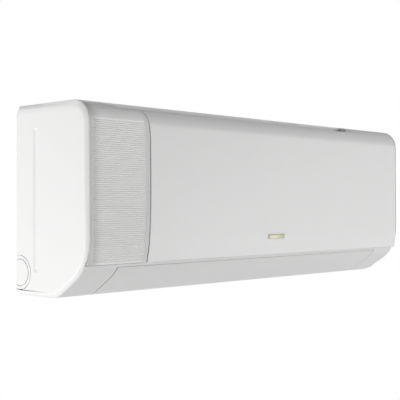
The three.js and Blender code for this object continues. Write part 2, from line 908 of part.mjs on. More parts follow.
function frontPanel() {
  const seamEdge = seamX + seamWidth - seamBow(top) - bite;
  const bedX = [-panelHalf, seamX + seamWidth + panelThickness];
  const skinBand = panelBand(0, panelThickness, [seamEdge, panelHalf]);
  const bed = panelBand(bedTop, bedTop + panelThickness, bedX);
  const step = panelBand(0, bedTop + panelThickness, [seamEdge, bedX[1]]);
  const ribs = [
    panelBand(bedTop, panelRibDepth, [-panelHalf, -panelHalf + panelThickness]),
    panelBand(bedTop, panelRibDepth, [seamX, seamX + panelThickness]),
    panelBand(panelThickness / 2, panelRibDepth, [panelHalf - panelThickness, panelHalf]),
  ];
  const lips = [
    panelLip([-panelHalf, seamX + seamWidth], top - bedTop),
    panelLip([seamEdge, panelHalf], top),
  ];
  const underBed = slab(evenOutline(bedTop, -overrun), -halfWidth - overrun, seamX + overrun);
  const recess = leftOfSeam(seamWidth).subtract(underBed);
  const lug = hingeLug();
  const shell = join([skinBand, bed, step, ...ribs, ...lips]).subtract(recess);
  return join([shell, lug, lug.mirror([1, 0, 0])]).subtract(notchCutter());
}

function browPoints(inset) {
  return evenOutline(inset).filter((p) => p.x > hinge.depth + seat && p.y > top - browRadius - bite);
}

function facePoints(inset) {
  return seamHeights().filter((height) => height < top - browRadius - bite)
    .map((height) => point(frontDepthAt(height) - frontFall(height) - inset, height));
}

// The ribbed insert: a sheet dished by a margin at each end, with V-shaped grooves across the field.
// Its right-hand rings bow with the seam.
function insertRing(x, dish, bow) {
  const points = [
    ...facePoints(dish),
    ...browPoints(dish),
    point(hinge.depth + seat, top - dish),
    point(hinge.depth + seat, top - insertBack),
    ...browPoints(insertBack).reverse(),
    ...facePoints(insertBack).reverse(),
  ];
  return { x, points, bow };
}

// How far the front lies behind the belly at a height, where it leans and then curls back.
function frontFall(height) {
  const lean = browSetback * Math.max(height - bottom - bellyRise, 0) / (unitHeight - bellyRise);
  const curl = Math.max(height - top + browRadius, 0);
  return lean + browRadius - Math.sqrt(browRadius * browRadius - curl * curl);
}

function ribGrooves(x) {
  const low = bottom + panelRise + ribFieldRise;
  const count = Math.floor((top - ribFieldDrop - low) / ribPitch);
  const points = [];
  for (let k = 0; k <= 2 * count; k += 1) {
    const height = low + (k * ribPitch) / 2;
    const side = k % 2 === 0 ? 1 : -1;
    points.push(point(frontDepthAt(height) - frontFall(height) - insertDish + side * ribDepth, height));
  }
  points.push(point(unitDepth + bite, low + count * ribPitch), point(unitDepth + bite, low));
  return slab(points, x[0], x[1]);
}

function ribbedPanel() {
  const left = -panelHalf;
  const right = seamX;
  const sheet = loft([
    insertRing(left, 0),
    insertRing(left + insertLeftMargin, insertDish),
    insertRing(right - insertRightMargin, insertDish, seamBow),
    insertRing(right, 0, seamBow),
  ]);
  const field = leftOfSeam(-insertRightMargin - seat);
  const grooves = ribGrooves([left + insertLeftMargin + seat, right]).intersect(field);
  return cut(sheet, [grooves, notchCutter()]);
}

function badgeBar() {
  const height = bottom + badgeRise;
  const front = frontDepthAt(height) + seat;
  const half = badgeHeight / 2;
  const x = [badgeX - badgeWidth / 2, badgeX + badgeWidth / 2];
  return block(x, [front, front + badgeThickness], [height - half, height + half]);
}

// Wall plate

function plateHook(x) {
  const half = hookWidth / 2;
  const plateTop = top - plateTopDrop;
  const arm = block([x - half, x + half], [0, backWallDepth + skin + seat + plateThickness],
    [plateTop - plateThickness, plateTop]);
  const tip = block([x - half, x + half],
    [backWallDepth + skin + seat, backWallDepth + skin + seat + plateThickness],
    [plateTop - plateThickness, plateTop + hookHeight]);
  return arm.add(tip);
}

function plateStandoff(x, height) {
  const outer = barAlongDepth(x, [0, backWallDepth - seat], height, hookWidth / 4, smallSides);
  return outer.subtract(barAlongDepth(x, [-bite, overrun], height, plateHoleRadius, smallSides));
}

function wallPlate() {
  const plateTop = top - plateTopDrop;
  const plateBottom = bottom + plateBottomRise;
  const sheet = block([-plateHalfWidth, plateHalfWidth], [0, plateThickness], [plateBottom, plateTop]);
  const hooks = [-hookX, 0, hookX].map(plateHook);
  const windowX = hookX / 2;
  const windowHeight = (plateTop - plateBottom) * plateWindowShare;
  const windows = [-windowX, windowX].flatMap((x) => [
    [plateTop - windowHeight, x],
    [plateBottom + windowHeight, x],
  ]).map(([height, x]) => block([x - plateWindowWidth / 2, x + plateWindowWidth / 2], [-bite, overrun],
    [height - windowHeight / 2, height + windowHeight / 2]));
  const holeX = [-plateHalfWidth + hookWidth, plateHalfWidth - hookWidth];
  const holes = holeX.flatMap((x) => [plateTop - hookWidth, plateBottom + hookWidth]
    .map((height) => barAlongDepth(x, [-bite, overrun], height, plateHoleRadius, smallSides)));
  const standoffs = [-hookX, hookX].map((x) => plateStandoff(x, plateBottom + hookWidth / 2));
  const bores = [-hookX, hookX].map((x) => barAlongDepth(x, [-bite, overrun], plateBottom + hookWidth / 2,
    plateHoleRadius, smallSides));
  return cut(join([sheet, ...hooks, ...standoffs]), [...windows, ...holes, ...bores]);
}

// Rear chassis

// The scroll behind the fan, opening steadily, then the straight floor of the outlet.
function volutePoints(offset) {
  const steps = 12;
  const points = [];
  for (let k = 0; k <= steps; k += 1) {
    const share = k / steps;
    const angle = voluteStart + (voluteEnd - voluteStart) * share;
    const radius = fanRadius + voluteGap + voluteGrowth * share + offset;
    points.push(point(fan.depth + radius * Math.cos(angle), fan.height + radius * Math.sin(angle)));
  }
  return points;
}

function voluteWall() {
  const inner = volutePoints(0);
  const outer = volutePoints(skin);
  inner.push(point(ductFloorEndDepth, bottom + skin));
  outer.push(point(ductFloorEndDepth - skin, bottom + seat));
  const whole = slab([...outer, ...inner.reverse()], leftWall - bite, rightWall + bite);
  const overlap = [leftWall - overrun, -louverHalf - louverGap + seat];
  const corner = block(overlap, [0, unitDepth], [bottom - bite, fan.height])
    .subtract(slab(evenOutline(skin + seat, 0), overlap[0] - bite, overlap[1] + bite));
  return whole.subtract(corner);
}

// A side wall stays behind the front frame, and rises behind its brim to the top wall.
function sideWall(x, low) {
  const inset = frameInset + skin + seat;
  const shape = outline({ bottomIn: seat, chinIn: inset, frontIn: inset, topIn: inset, rearIn: 0 });
  const reach = block([x - bite, x + skin + bite], [backWallDepth, unitDepth], [low, top]);
  const upper = block([x, x + skin], [backWallDepth, brimDepth - skin - seat],
    [top - frameInset - skin - browRadius, top - skin - seat]);
  return slab(shape, x, x + skin).intersect(reach).add(upper);
}

function hookSlot(x) {
  const half = hookWidth / 2 + seat;
  const plateTop = top - plateTopDrop;
  return block([x - half, x + half], [backWallDepth - bite, backWallDepth + skin + bite],
    [plateTop - plateThickness - hookHeight - seat, plateTop + seat]);
}

function chassisBack() {
  const x = [-capEdge + seat, capEdge - seat];
  const wallTop = top - skin - seat;
  const channelTop = bottom + channelTopRise;
  const back = block(x, [backWallDepth, backWallDepth + skin], [channelTop, wallTop]);
  const topFlange = block(x, [rearGap, grilleRearDepth - grilleMargin - seat], [wallTop - skin, wallTop]);
  const channelRoof = block([x[0], rightWall + skin], [rearGap, fan.depth - fanRadius - voluteGap - skin],
    [channelTop, channelTop + skin]);
  return cut(join([back, topFlange, channelRoof]), [-hookX, 0, hookX].map(hookSlot));
}

function chassisFloor() {
  const x = [-louverHalf - louverGap + seat, louverHalf + louverGap - seat];
  return block(x, [rearGap, floorEndDepth], [bottom, bottom + skin]);
}

// Behind the louver's right-hand end a scoop round the louver's pivot closes the bay.
function scoopPoints(radius) {
  const steps = 5;
  const points = [];
  for (let k = 0; k <= steps; k += 1) {
    const angle = scoopStart + (scoopEnd - scoopStart) * k / steps;
    points.push(point(louverPivot.depth + radius * Math.cos(angle), louverPivot.height + radius * Math.sin(angle)));
  }
  return points;
}

function bayScoop() {
  const x = [rightWall + skin / 2, louverHalf + louverGap - 2 * seat - skin];
  const inner = scoopPoints(scoopRadius);
  const outer = scoopPoints(scoopRadius + skin);
  inner.push(point(panFrontDepth, shelfHeight));
  outer.push(point(panFrontDepth, shelfHeight + skin));
  return slab([...outer, ...inner.reverse()], x[0], x[1]);
}

function bearingSeat() {
  const ring = barAlongX([leftWall - skin, leftWall + skin], fan, bearingRadius + seat + skin);
  return ring.subtract(barAlongX([leftWall - overrun, leftWall + overrun], fan, bearingRadius + seat));
}

function motorX() {
  const start = rightWall + skin + motorGap;
  return [start, start + motorLength];
}

function motorBracketX() {
  const middle = (motorX()[0] + motorX()[1]) / 2;
  return [middle - bracketWidth / 2, middle + bracketWidth / 2];
}

// The pipes leave the channel to the right through one slot in the side wall.
function channelMouth() {
  return block([rightWall - bite, rightWall + skin + bite], [-bite, liquidDepth + liquidRadius + wallHolePlay],
    [bottom + liquidRise - liquidRadius - wallHolePlay, bottom + suctionRise + suctionRadius + wallHolePlay]);
}

function rearChassis() {
  const left = sideWall(leftWall - skin, bottom + skin + seat);
  const right = sideWall(rightWall, bottom + skin / 2);
  const body = join([chassisBack(), voluteWall(), chassisFloor(), left, right, bearingSeat(), bayScoop()]);
  const bores = [
    barAlongX([leftWall - overrun, leftWall + skin + bite], fan, bearingRadius + seat),
    barAlongX([rightWall - bite, rightWall + skin + bite], fan, motorRingRadius + seat),
    barAlongX([leftWall - overrun, leftWall + bite], louverPivot, louverPinRadius + skin),
    barAlongX([leftWall - overrun, leftWall + bite], spoutCentre(), spoutRadius + seat),
    barAlongX([rightWall - bite, rightWall + skin + bite], suctionStart, suctionRadius + wallHolePlay),
    barAlongX([rightWall - bite, rightWall + skin + bite], liquidStart, liquidRadius + wallHolePlay),
    channelMouth(),
    barAlongX([rightWall - bite, rightWall + skin + bite], louverPivot, scoopRadius),
  ];
  return cut(body, bores);
}

// Drain pan: the tray under the front of the coil, the tongue beside the fan and the outlet's roof.
const panX = [leftWall + seat, rightWall - seat];
const tongueRadius = fanRadius + tongueGap;

function tonguePoints() {
  const steps = 6;
  const points = [];
  for (let k = 0; k <= steps; k += 1) {
    const angle = tongueTopAngle + (tongueEndAngle - tongueTopAngle) * k / steps;
    points.push(point(fan.depth + tongueRadius * Math.cos(angle), fan.height + tongueRadius * Math.sin(angle)));
  }
  return points;
}

function drainPan() {
  const lip = bottom + panLipRise;
  const floor = bottom + panFloorRise;
  const tongue = tonguePoints();
  const tip = tongue[tongue.length - 1];
  const rear = tongue[0].x;
  const rearLip = coilFoot.y - 2 * seat;
  const body = slab([
    point(rear, rearLip),
    ...tongue,
    point(panFrontDepth, shelfHeight),
    point(panFrontDepth, lip),
    point(panFrontDepth - panWall, lip),
    point(panFrontDepth - panWall, floor - panWall),
    point(tip.x + panWall, floor),
    point(rear + panWall, rearLip - panWall),
    point(rear + panWall, rearLip),
  ], panX[0], panX[1]);
  const ribStep = (coilRight - coilLeft) / panRibCount;
  const ribs = Array.from({ length: panRibCount }, (_, i) => coilLeft + ribStep * (i + 1 / 2))
    .map((x) => block([x, x + panWall], [tip.x, panFrontDepth - panWall / 2],
      [floor - 2 * panWall, coilFoot.y - seat]));
  const spout = barAlongX([panX[0] - spoutLength, panX[0] + bite], spoutCentre(), spoutRadius);
  const bore = barAlongX([panX[0] - overrun, panX[0] + spoutLength], spoutCentre(), spoutRadius - panWall);
  return cut(join([body, ...ribs, spout]), [bore, vaneMotorPocket()]);
}

function spoutCentre() {
  return { depth: panFrontDepth - panWall - spoutRadius, height: bottom + panFloorRise - panWall - spoutRadius };
}

function drainPlug() {
  const end = panX[0] - spoutLength;
  const cap = barAlongX([end - seat - panWall, end - seat], spoutCentre(), spoutRadius, smallSides);
  const stem = barAlongX([end - seat - bite, panX[0]], spoutCentre(), spoutRadius - panWall - seat, smallSides);
  return cap.add(stem);
}

// Coil

// A row of fins: a comb along x, standing on a solid core, laid between two points of the side view.
function finSlab(foot, head) {
  const along = head.clone().sub(foot);
  const length = along.length();
  const pitch = (coilRight - coilLeft) / finCount;
  const comb = [point(coilLeft, 0)];
  for (let i = 0; i < finCount; i += 1) {
    const x = coilLeft + i * pitch;
    comb.push(point(x, coilThickness), point(x + pitch / 2, coilThickness));
    comb.push(point(x + pitch / 2, coilThickness - finGroove), point(x + pitch, coilThickness - finGroove));
  }
  comb.push(point(coilRight, 0));
  const geometry = new THREE.ExtrudeGeometry(new THREE.Shape(comb), { depth: length, bevelEnabled: false });
  const out = new THREE.Vector3(0, -along.y / length, -along.x / length);
  const down = new THREE.Vector3(0, along.x / length, -along.y / length);
  const frame = new THREE.Matrix4().makeBasis(new THREE.Vector3(1, 0, 0), out, down);
  frame.setPosition(0, -head.x, head.y);
  return toSolid(geometry.applyMatrix4(frame));
}

const coilFoot = point(coilFrontDepth - coilThickness, bottom + coilFootRise);
const coilKnee = point(coilFrontDepth - coilThickness, top - coilKneeDrop);
const coilPeak = point(unitDepth - coilPeakSetback, top - coilPeakDrop);
const coilTail = point(coilRearDepth, top - coilRearDrop);

function coilFrontLower() {
  return finSlab(coilFoot, coilKnee.clone().sub(point(0, seat)));
}

function coilFrontUpper() {
  const lean = coilPeak.clone().sub(coilKnee).normalize();
  const foot = coilKnee.clone().add(point(0, seat));
  return finSlab(foot, coilPeak.clone().addScaledVector(lean, -coilThickness / 2));
}

function coilRear() {
  const lean = coilPeak.clone().sub(coilTail).normalize();
  const head = coilPeak.clone().addScaledVector(lean, -coilThickness);
  return finSlab(coilTail, head);
}

function roundSection(radius, sides) {
  const ring = Array.from({ length: sides }, (_, i) => {
    const turn = 2 * Math.PI * i / sides;
    return point(radius * Math.cos(turn), radius * Math.sin(turn));
  });
  return new THREE.Shape(ring);
}

function hairpin(x, side, centre, along) {
  const curve = new THREE.CatmullRomCurve3([0, 1, 2, 3, 4].map((k) => {
    const angle = Math.PI * k / 4;
    return new THREE.Vector3(
      x + side * bendRadius * Math.sin(angle),
      -centre.x - along.x * bendRadius * Math.cos(angle),
      centre.y + along.y * bendRadius * Math.cos(angle),
    );
  }));
  const section = roundSection(tubeRadius, 5);
  return toSolid(new THREE.ExtrudeGeometry(section, { steps: 3, extrudePath: curve, bevelEnabled: false }));
}

// The end plate of the coil with its return bends.
function tubeSheet(x, side, legs) {
  const solids = [];
  const face = side < 0 ? x[0] + sheetThickness * bendLapShare : x[1] - sheetThickness * bendLapShare;
  legs.forEach(({ foot, head, bends }) => {
    const along = head.clone().sub(foot);
    const length = along.length();
    const lean = along.clone().normalize();
    const out = point(lean.y, -lean.x);
    const corners = [foot, head, head.clone().addScaledVector(out, coilThickness),
      foot.clone().addScaledVector(out, coilThickness)];
    solids.push(slab(corners, x[0], x[1]));
    for (let i = 0; i < bends; i += 1) {
      const centre = foot.clone().addScaledVector(lean, length * (i + 1 / 2) / bends)
        .addScaledVector(out, coilThickness / 2);
      solids.push(hairpin(face, side, centre, lean));
    }
  });
  return join(solids);
}

function coilLegs() {
  const lean = coilPeak.clone().sub(coilKnee).normalize();
  const kneeLap = coilKnee.clone().addScaledVector(lean, -bendRadius / 2);
  return [
    { foot: coilFoot, head: coilKnee, bends: 2 },
    { foot: kneeLap, head: coilPeak, bends: 2 },
    { foot: coilTail, head: coilPeak, bends: 3 },
  ];
}

function tubeSheetLeft() {
  return tubeSheet([coilLeft - seat - sheetThickness, coilLeft - seat], -1, coilLegs());
}

function tubeSheetRight() {
  return tubeSheet([coilRight + seat, coilRight + seat + sheetThickness], 1, coilLegs());
}

// Refrigerant pipes in the channel behind the scroll

function elbow(corner, before, after, radius) {
  const start = corner.clone().addScaledVector(before, -pipeBend);
  const end = corner.clone().addScaledVector(after, pipeBend);
  const curve = new THREE.QuadraticBezierCurve3(start, corner, end);
  const section = roundSection(radius, smallSides);
  return toSolid(new THREE.ExtrudeGeometry(section, { steps: 4, extrudePath: curve, bevelEnabled: false }));
}

function straight(from, to, radius) {
  const along = to.clone().sub(from);
  const geometry = new THREE.CylinderGeometry(radius, radius, along.length(), smallSides);
  geometry.rotateX(Math.PI / 2);
  geometry.lookAt(along);
  geometry.translate((from.x + to.x) / 2, (from.y + to.y) / 2, (from.z + to.z) / 2);
  return toSolid(geometry);
}

function pipeRun(corners, radius) {
  const solids = [];
  const lap = radius / 4;
  for (let i = 0; i < corners.length - 1; i += 1) {
    const along = corners[i + 1].clone().sub(corners[i]).normalize();
    const from = corners[i].clone().addScaledVector(along, i === 0 ? 0 : pipeBend - lap);
    const to = corners[i + 1].clone().addScaledVector(along, i === corners.length - 2 ? 0 : lap - pipeBend);
    solids.push(straight(from, to, radius));
    if (i > 0) {
      const before = corners[i].clone().sub(corners[i - 1]).normalize();
      solids.push(elbow(corners[i], before, along, radius));
    }
  }
  return join(solids);
}

const suctionStart = { depth: suctionDepth, height: coilTail.y };
const liquidStart = { depth: liquidDepth, height: coilTail.y + liquidDepth - suctionDepth };

function pipeCorners(start, x, rise, endX) {
  const height = bottom + rise;
  const startX = coilRight + 2 * seat + sheetThickness;
  return [
    new THREE.Vector3(startX, -start.depth, start.height),
    new THREE.Vector3(x, -start.depth, start.height),
    new THREE.Vector3(x, -start.depth, height),
    new THREE.Vector3(endX, -start.depth, height),
  ];
}

function suctionPipe() {
  return pipeRun(pipeCorners(suctionStart, pipeX, suctionRise, suctionEndX), suctionRadius);
}

function liquidPipe() {
  return pipeRun(pipeCorners(liquidStart, pipeX + pipeSpacing, liquidRise, liquidEndX), liquidRadius);
}

function flareNut(x, start, rise) {
  return barAlongX([x - nutLength - seat, x - seat], { depth: start.depth, height: bottom + rise }, nutRadius, 6);
}

// Cross-flow fan, made round its own axis

function bladePoints() {
  const root = fanRadius - bladeThickness - bladeChord;
  const steps = 2;
  const front = [];
  const back = [];
  for (let k = 0; k <= steps; k += 1) {
    const share = k / steps;
    const radius = root + bladeChord * share;
    const angle = bladeSweep * share * share;
    const lean = Math.atan2(2 * radius * bladeSweep * share, bladeChord);
    const half = bladeThickness * (1 - share / 2) / 2;
    const middle = point(radius * Math.cos(angle), radius * Math.sin(angle));
    const across = point(-Math.sin(angle + lean), Math.cos(angle + lean)).multiplyScalar(half);
    front.push(middle.clone().add(across));
    back.unshift(middle.clone().sub(across));
  }
  return [...front, ...back];
}

const fanX = [leftWall + fanEndGap, rightWall - fanEndGap];
const axisZero = { depth: 0, height: 0 };

function crossFlowFan() {
  const blade = bladePoints();
  const solids = [];
  for (let i = 0; i < bladeCount; i += 1) {
    const turn = 2 * Math.PI * i / bladeCount;
    const turned = blade.map((p) => p.clone().rotateAround(point(0, 0), turn));
    solids.push(slab(turned, fanX[0] + discThickness / 2, fanX[1] - discThickness / 2));
  }
  for (let i = 0; i < discCount; i += 1) {
    const share = i / (discCount - 1);
    const x = fanX[0] + (fanX[1] - fanX[0] - discThickness) * share;
    const disc = barAlongX([x, x + discThickness], axisZero, fanRadius);
    const open = i === 0 || i === discCount - 1 ? shaftRadius + seat : fanRadius - bladeChord + bladeThickness;
    solids.push(disc.subtract(barAlongX([x - bite, x + discThickness + bite], axisZero, open, smallSides * 2)));
  }
  const bore = barAlongX([fanX[0], fanX[1] + bite], axisZero, shaftRadius + seat, smallSides * 2);
  const hub = barAlongX([fanX[1] - hubLength, fanX[1] - discThickness / 2], axisZero, hubRadius);
  return join([...solids, hub.subtract(bore)]);
}

function stubShaft() {
  const x = [leftWall - skin - bearingWidth / 2, fanX[0] + discThickness];
  const pin = barAlongX(x, axisZero, shaftRadius, smallSides);
  const collar = barAlongX([fanX[0] + discThickness + seat, fanX[0] + hubLength], axisZero, hubRadius, roundSides);
  const tail = barAlongX([x[1] - bite, fanX[0] + hubLength], axisZero, shaftRadius, smallSides);
  return join([pin, collar, tail]);
}

function motorShaft() {
  const x = [fanX[1] - hubLength, motorX()[0] + motorBossLength];
  return barAlongX(x, axisZero, shaftRadius, smallSides);
}

function fanBearing() {
  const x = [leftWall - skin - bearingWidth / 2, leftWall + skin / 2];
  return barAlongX(x, fan, bearingRadius).subtract(
    barAlongX([x[0] - bite, x[1] + bite], fan, shaftRadius + shaftPlay, roundSides),
  );
}

function bearingHolder() {
  const x = [leftWall - skin - bearingWidth / 2 - seat - skin, leftWall - skin - bearingWidth / 2 - seat];
  const plate = barAlongX(x, fan, bearingRadius + skin);
  const sleeve = barAlongX([x[1] - bite, leftWall - skin - seat], fan, bearingRadius + seat + skin)
    .subtract(barAlongX([x[1] - 2 * bite, leftWall], fan, bearingRadius + seat));
  return plate.add(sleeve);
}

// Motor

function fanMotor() {
  const [start, end] = motorX();
  const nose = motorGap + skin / 2;
  const length = end - start;
  const bore = shaftRadius + shaftPlay;
  const profile = [
    point(0, motorBossLength + bite),
    point(bore, motorBossLength + bite),
    point(bore, -nose),
    point(motorBossRadius, -nose),
    point(motorBossRadius, 0),
    point(motorRadius - motorRound, 0),
    point(motorRadius, motorRound),
    point(motorRadius, length - motorRound),
    point(motorRadius - motorRound, length),
    point(motorBossRadius, length),
    point(motorBossRadius, length + motorBossLength / 2),
    point(0, length + motorBossLength / 2),
  ];
  const geometry = new THREE.LatheGeometry(profile, roundSides);
  geometry.rotateZ(-Math.PI / 2);
  geometry.translate(start, -fan.depth, fan.height);
  return toSolid(geometry);
}

function motorRing() {
  const x = [rightWall - skin / 2, rightWall - skin / 2 + motorRingWidth];
  return barAlongX(x, fan, motorRingRadius).subtract(
    barAlongX([x[0] - bite, x[1] + bite], fan, motorBossRadius + seat, roundSides),
  );
}

function motorBracket() {
  const x = motorBracketX();
  const play = motorRadius + seat;
  const ring = barAlongX(x, fan, play + bracketWall);
  const rear = block(x, [backWallDepth + skin + seat, fan.depth], [fan.height - bracketWidth,
    fan.height + bracketWidth]);
  return ring.add(rear).subtract(barAlongX([x[0] - bite, x[1] + bite], fan, play));
}

// Louver, made round its own pivot

function louverShell() {
  const x = [-louverHalf, louverHalf];
  const upper = shelfHeight - louverGap;
  const zone = block([x[0] - bite, x[1] + bite], [louverRearDepth, unitDepth], [bottom - bite, upper]);
  return band(0, louverThickness, x).intersect(zone);
}

function louverLug() {
  const x = [-louverHalf, -louverHalf + louverLugWidth];
  const eye = barAlongX(x, louverPivot, louverLugRadius);
  const web = slab([
    point(louverPivot.depth - louverLugRadius, louverPivot.height),
    point(louverPivot.depth - louverLugRadius, bottom),
    point(unitDepth - chinStep - chinUpperRadius, bottom),
    point(unitDepth - chinStep - chinUpperRadius, louverPivot.height),
    point(louverPivot.depth, louverPivot.height + louverLugRadius),
  ], x[0], x[1]).intersect(slab(evenOutline(louverThickness / 2), x[0] - bite, x[1] + bite));
  const pin = barAlongX([x[0] - louverGap - 2 * skin, x[0] + bite], louverPivot, louverPinRadius, smallSides);
  return join([eye, web, pin]);
}

function louver() {
  const lug = louverLug();
  return join([louverShell(), lug, lug.mirror([1, 0, 0])]);
}

// Vanes, made in the outlet's own frame: x across, y down the flow, z from the roof to the floor

const vanePitch = (rightWall - leftWall - vaneFirstInset - vaneLastInset) / (vaneCount - 1);
const vaneX = Array.from({ length: vaneCount }, (_, i) => leftWall + vaneFirstInset + i * vanePitch);
const tongueTip = tonguePoints().at(-1);
const outletSlope = Math.atan2(tongueTip.y - shelfHeight, panFrontDepth - tongueTip.x);
const ductOrigin = new THREE.Vector3(0, -vaneBaseDepth,
  tongueTip.y - (vaneBaseDepth - tongueTip.x) * Math.tan(outletSlope));
const ductTurn = Math.PI + outletSlope;
const ductFrame = new THREE.Matrix4().makeRotationX(ductTurn).setPosition(ductOrigin);

// A block in the outlet's frame, between two values of x, y and z.
function ductBlock(x, y, z) {
  const geometry = new THREE.BoxGeometry(x[1] - x[0], y[1] - y[0], z[1] - z[0]);
  geometry.translate((x[0] + x[1]) / 2, (y[0] + y[1]) / 2, (z[0] + z[1]) / 2);
  return toSolid(geometry);
}

// A pin in the outlet's frame, across the flow.
function ductPin(x, y, z, radius, sides = smallSides) {
  const geometry = new THREE.CylinderGeometry(radius, radius, z[1] - z[0], sides);
  geometry.rotateX(Math.PI / 2);
  geometry.translate(x, y, (z[0] + z[1]) / 2);
  return toSolid(geometry);
}

function vaneMotorPocket() {
  const z = [-vaneMotorLength - 2 * seat, railThickness];
  const tool = ductPin(vaneX[0], 0, z, vaneMotorRadius + seat, roundSides);
  return toSolid(toGeometry(tool).applyMatrix4(ductFrame));
}

function vane() {
  const blade = new THREE.Shape([
    point(-vaneRear, vaneFoot),
    point(vaneFront, vaneFoot),
    point(vaneFront, vaneFrontCorner),
    point(vaneTipFront, vaneTip),
    point(-vaneRear, vaneTip),
  ]);
  const geometry = new THREE.ExtrudeGeometry(blade, { depth: vaneThickness, bevelEnabled: false });
  geometry.translate(0, 0, -vaneThickness / 2);
  geometry.applyMatrix4(new THREE.Matrix4().makeBasis(
    new THREE.Vector3(0, 1, 0),
    new THREE.Vector3(0, 0, 1),
    new THREE.Vector3(1, 0, 0),
  ));
  const pin = ductPin(0, 0, [seat + seat, vaneFoot + bite], vanePinRadius);
  const half = linkThickness / 2 + linkSlotPlay;
  const notch = ductBlock([-overrun, overrun], [-vaneRear - bite, linkHalfWidth + linkNotchPlay - linkCrank],
    [linkLevel - half, linkLevel + half]);
  const crank = ductPin(0, -linkCrank, [linkLevel - half - bite, linkLevel + half + bite], linkPinRadius);
  return join([toSolid(geometry).subtract(notch), pin, crank]);
}

function vaneRail() {
  const x = [vaneX[0] - 2 * railHalfWidth, vaneX.at(-1) + 2 * railHalfWidth];
  const strip = ductBlock(x, [-railHalfWidth, railHalfWidth], [seat, seat + railThickness]);
  return cut(strip, vaneX.map((at) => ductPin(at, 0, [-bite, overrun], vanePinRadius + pinPlay)));
}

// The link that all the vanes share: an open slot for each crank pin.
function vaneLink() {
  const x = [vaneX[0] - railHalfWidth, vaneX.at(-1) + railHalfWidth];
  const z = [linkLevel - linkThickness / 2, linkLevel + linkThickness / 2];
  const strip = ductBlock(x, [-linkHalfWidth, linkHalfWidth], z);
  const play = linkPinRadius + linkSlotPlay;
  const slots = vaneX.flatMap((at) => [
    ductPin(at, 0, [z[0] - bite, z[1] + bite], play),
    ductBlock([at - play, at + play], [-linkHalfWidth - bite, 0], [z[0] - bite, z[1] + bite]),
  ]);
  return cut(strip, slots);
}

function vaneMotor() {
  return ductPin(vaneX[0], 0, [-vaneMotorLength - seat, 0], vaneMotorRadius, roundSides);
}

function louverMotor() {
  const start = louverHalf + louverGap + skin + 2 * seat + skin;
  const body = barAlongX([start, start + stepMotorLength], louverPivot, stepMotorRadius);
  const ear = block([start, start + skin], [louverPivot.depth - stepMotorEar, louverPivot.depth],
    [louverPivot.height - skin, louverPivot.height + skin]);
  return body.add(ear);
}

// Filters, one for each half of the window

function filter(x) {
  const depth = railSlotDepth + (railSlotWidth - filterThickness) / 2;
  const depths = [depth, depth + filterThickness];
  const height = [windowBottom + seat, top - filterTopDrop];
  const middle = (x[0] + x[1]) / 2;
  const sheet = block(x, depths, height);
  const tab = block([middle - filterTabWidth / 2, middle + filterTabWidth / 2], depths,
    [height[1] - bite, height[1] + filterTabHeight]);
  const columnStep = (x[1] - x[0] - 2 * filterFrame + filterBar) / filterColumns;
  const rowStep = (height[1] - height[0] - 2 * filterFrame + filterBar) / filterRows;
  const cells = [];
  for (let i = 0; i < filterColumns; i += 1) {
    for (let j = 0; j < filterRows; j += 1) {
      const cellX = x[0] + filterFrame + i * columnStep;
      const cellZ = height[0] + filterFrame + j * rowStep;
      cells.push(block([cellX, cellX + columnStep - filterBar], [depth - bite, depths[1] - filterMesh],
        [cellZ, cellZ + rowStep - filterBar]));
    }
  }
  return cut(sheet.add(tab), cells);
}

// Electrics

const boxX = [rightWall + skin + seat, rightWall + skin + seat + boxWidth];
const boxHeight = [fan.height + motorRadius + bracketWall + boxMotorGap, top - boxTopDrop];

function controlBox() {
  const shell = block(boxX, [boxRearDepth, coilFrontDepth], boxHeight);
  const hollow = block([boxX[0] + boxWall, boxX[1] - boxWall], [boxRearDepth + boxWall, unitDepth],
    [boxHeight[0] + boxWall, boxHeight[1] - boxWall]);
  const apron = block(boxX, [terminalPlateDepth, terminalPlateDepth + boxWall],
    [bottom + terminalRise - skin, boxHeight[0] + bite]);
  return shell.subtract(hollow).add(apron);
}

function controlBoard() {
  const depth = boxRearDepth + boxWall + seat;
  const x = [boxX[0] + boxWall + seat, boxX[1] - boxWall - seat];
  const height = [boxHeight[0] + boxWall + seat, boxHeight[1] - boxWall - seat];
  const sheet = block(x, [depth + boardGap, depth + boardGap + boardThickness], height);
  const front = depth + boardGap + boardThickness / 2;
  const standoffs = [x[0] + boardGap, x[1] - boardGap].flatMap((at) => [height[0] + boardGap, height[1] - boardGap]
    .map((level) => barAlongDepth(at, [depth, front], level, boardGap / 2)));
  const cell = boardCell;
  const relay = block([x[0] + cell, x[0] + 2 * cell], [front, front + 2 * cell],
    [height[0] + cell, height[0] + 3 * cell]);
  const transformer = block([x[1] - 4 * cell, x[1] - cell], [front, front + 3 * cell],
    [height[0] + cell, height[0] + 4 * cell]);
  const capacitor = barAlongDepth(x[0] + 2 * cell, [front, front + 3 * cell], height[1] - 3 * cell, cell, roundSides);
  const heatSink = block([x[1] - 3 * cell, x[1] - cell], [front, front + 2 * cell],
    [height[1] - 4 * cell, height[1] - 2 * cell]);
  return join([sheet, ...standoffs, relay, transformer, capacitor, heatSink]);
}

function controlCover() {
  const depth = coilFrontDepth + seat;
  return block(boxX, [depth, depth + coverThickness], boxHeight);
}

function terminalBlock() {
  const middle = (boxX[0] + boxX[1]) / 2;
  const x = [middle - terminalWidth / 2, middle + terminalWidth / 2];
  const depth = terminalPlateDepth + boxWall + seat;
  const height = [bottom + terminalRise, bottom + terminalRise + terminalHeight];
  const body = block(x, [depth, depth + terminalDepth], height);
  const step = terminalWidth / terminalCount;
  const cells = Array.from({ length: terminalCount }, (_, i) => x[0] + i * step)
    .map((at) => block([at + terminalWall, at + step - terminalWall], [depth + terminalDepth / 2, unitDepth],
      [height[0] + terminalEdge, height[1] - terminalEdge]));
  return cut(body, cells);
}

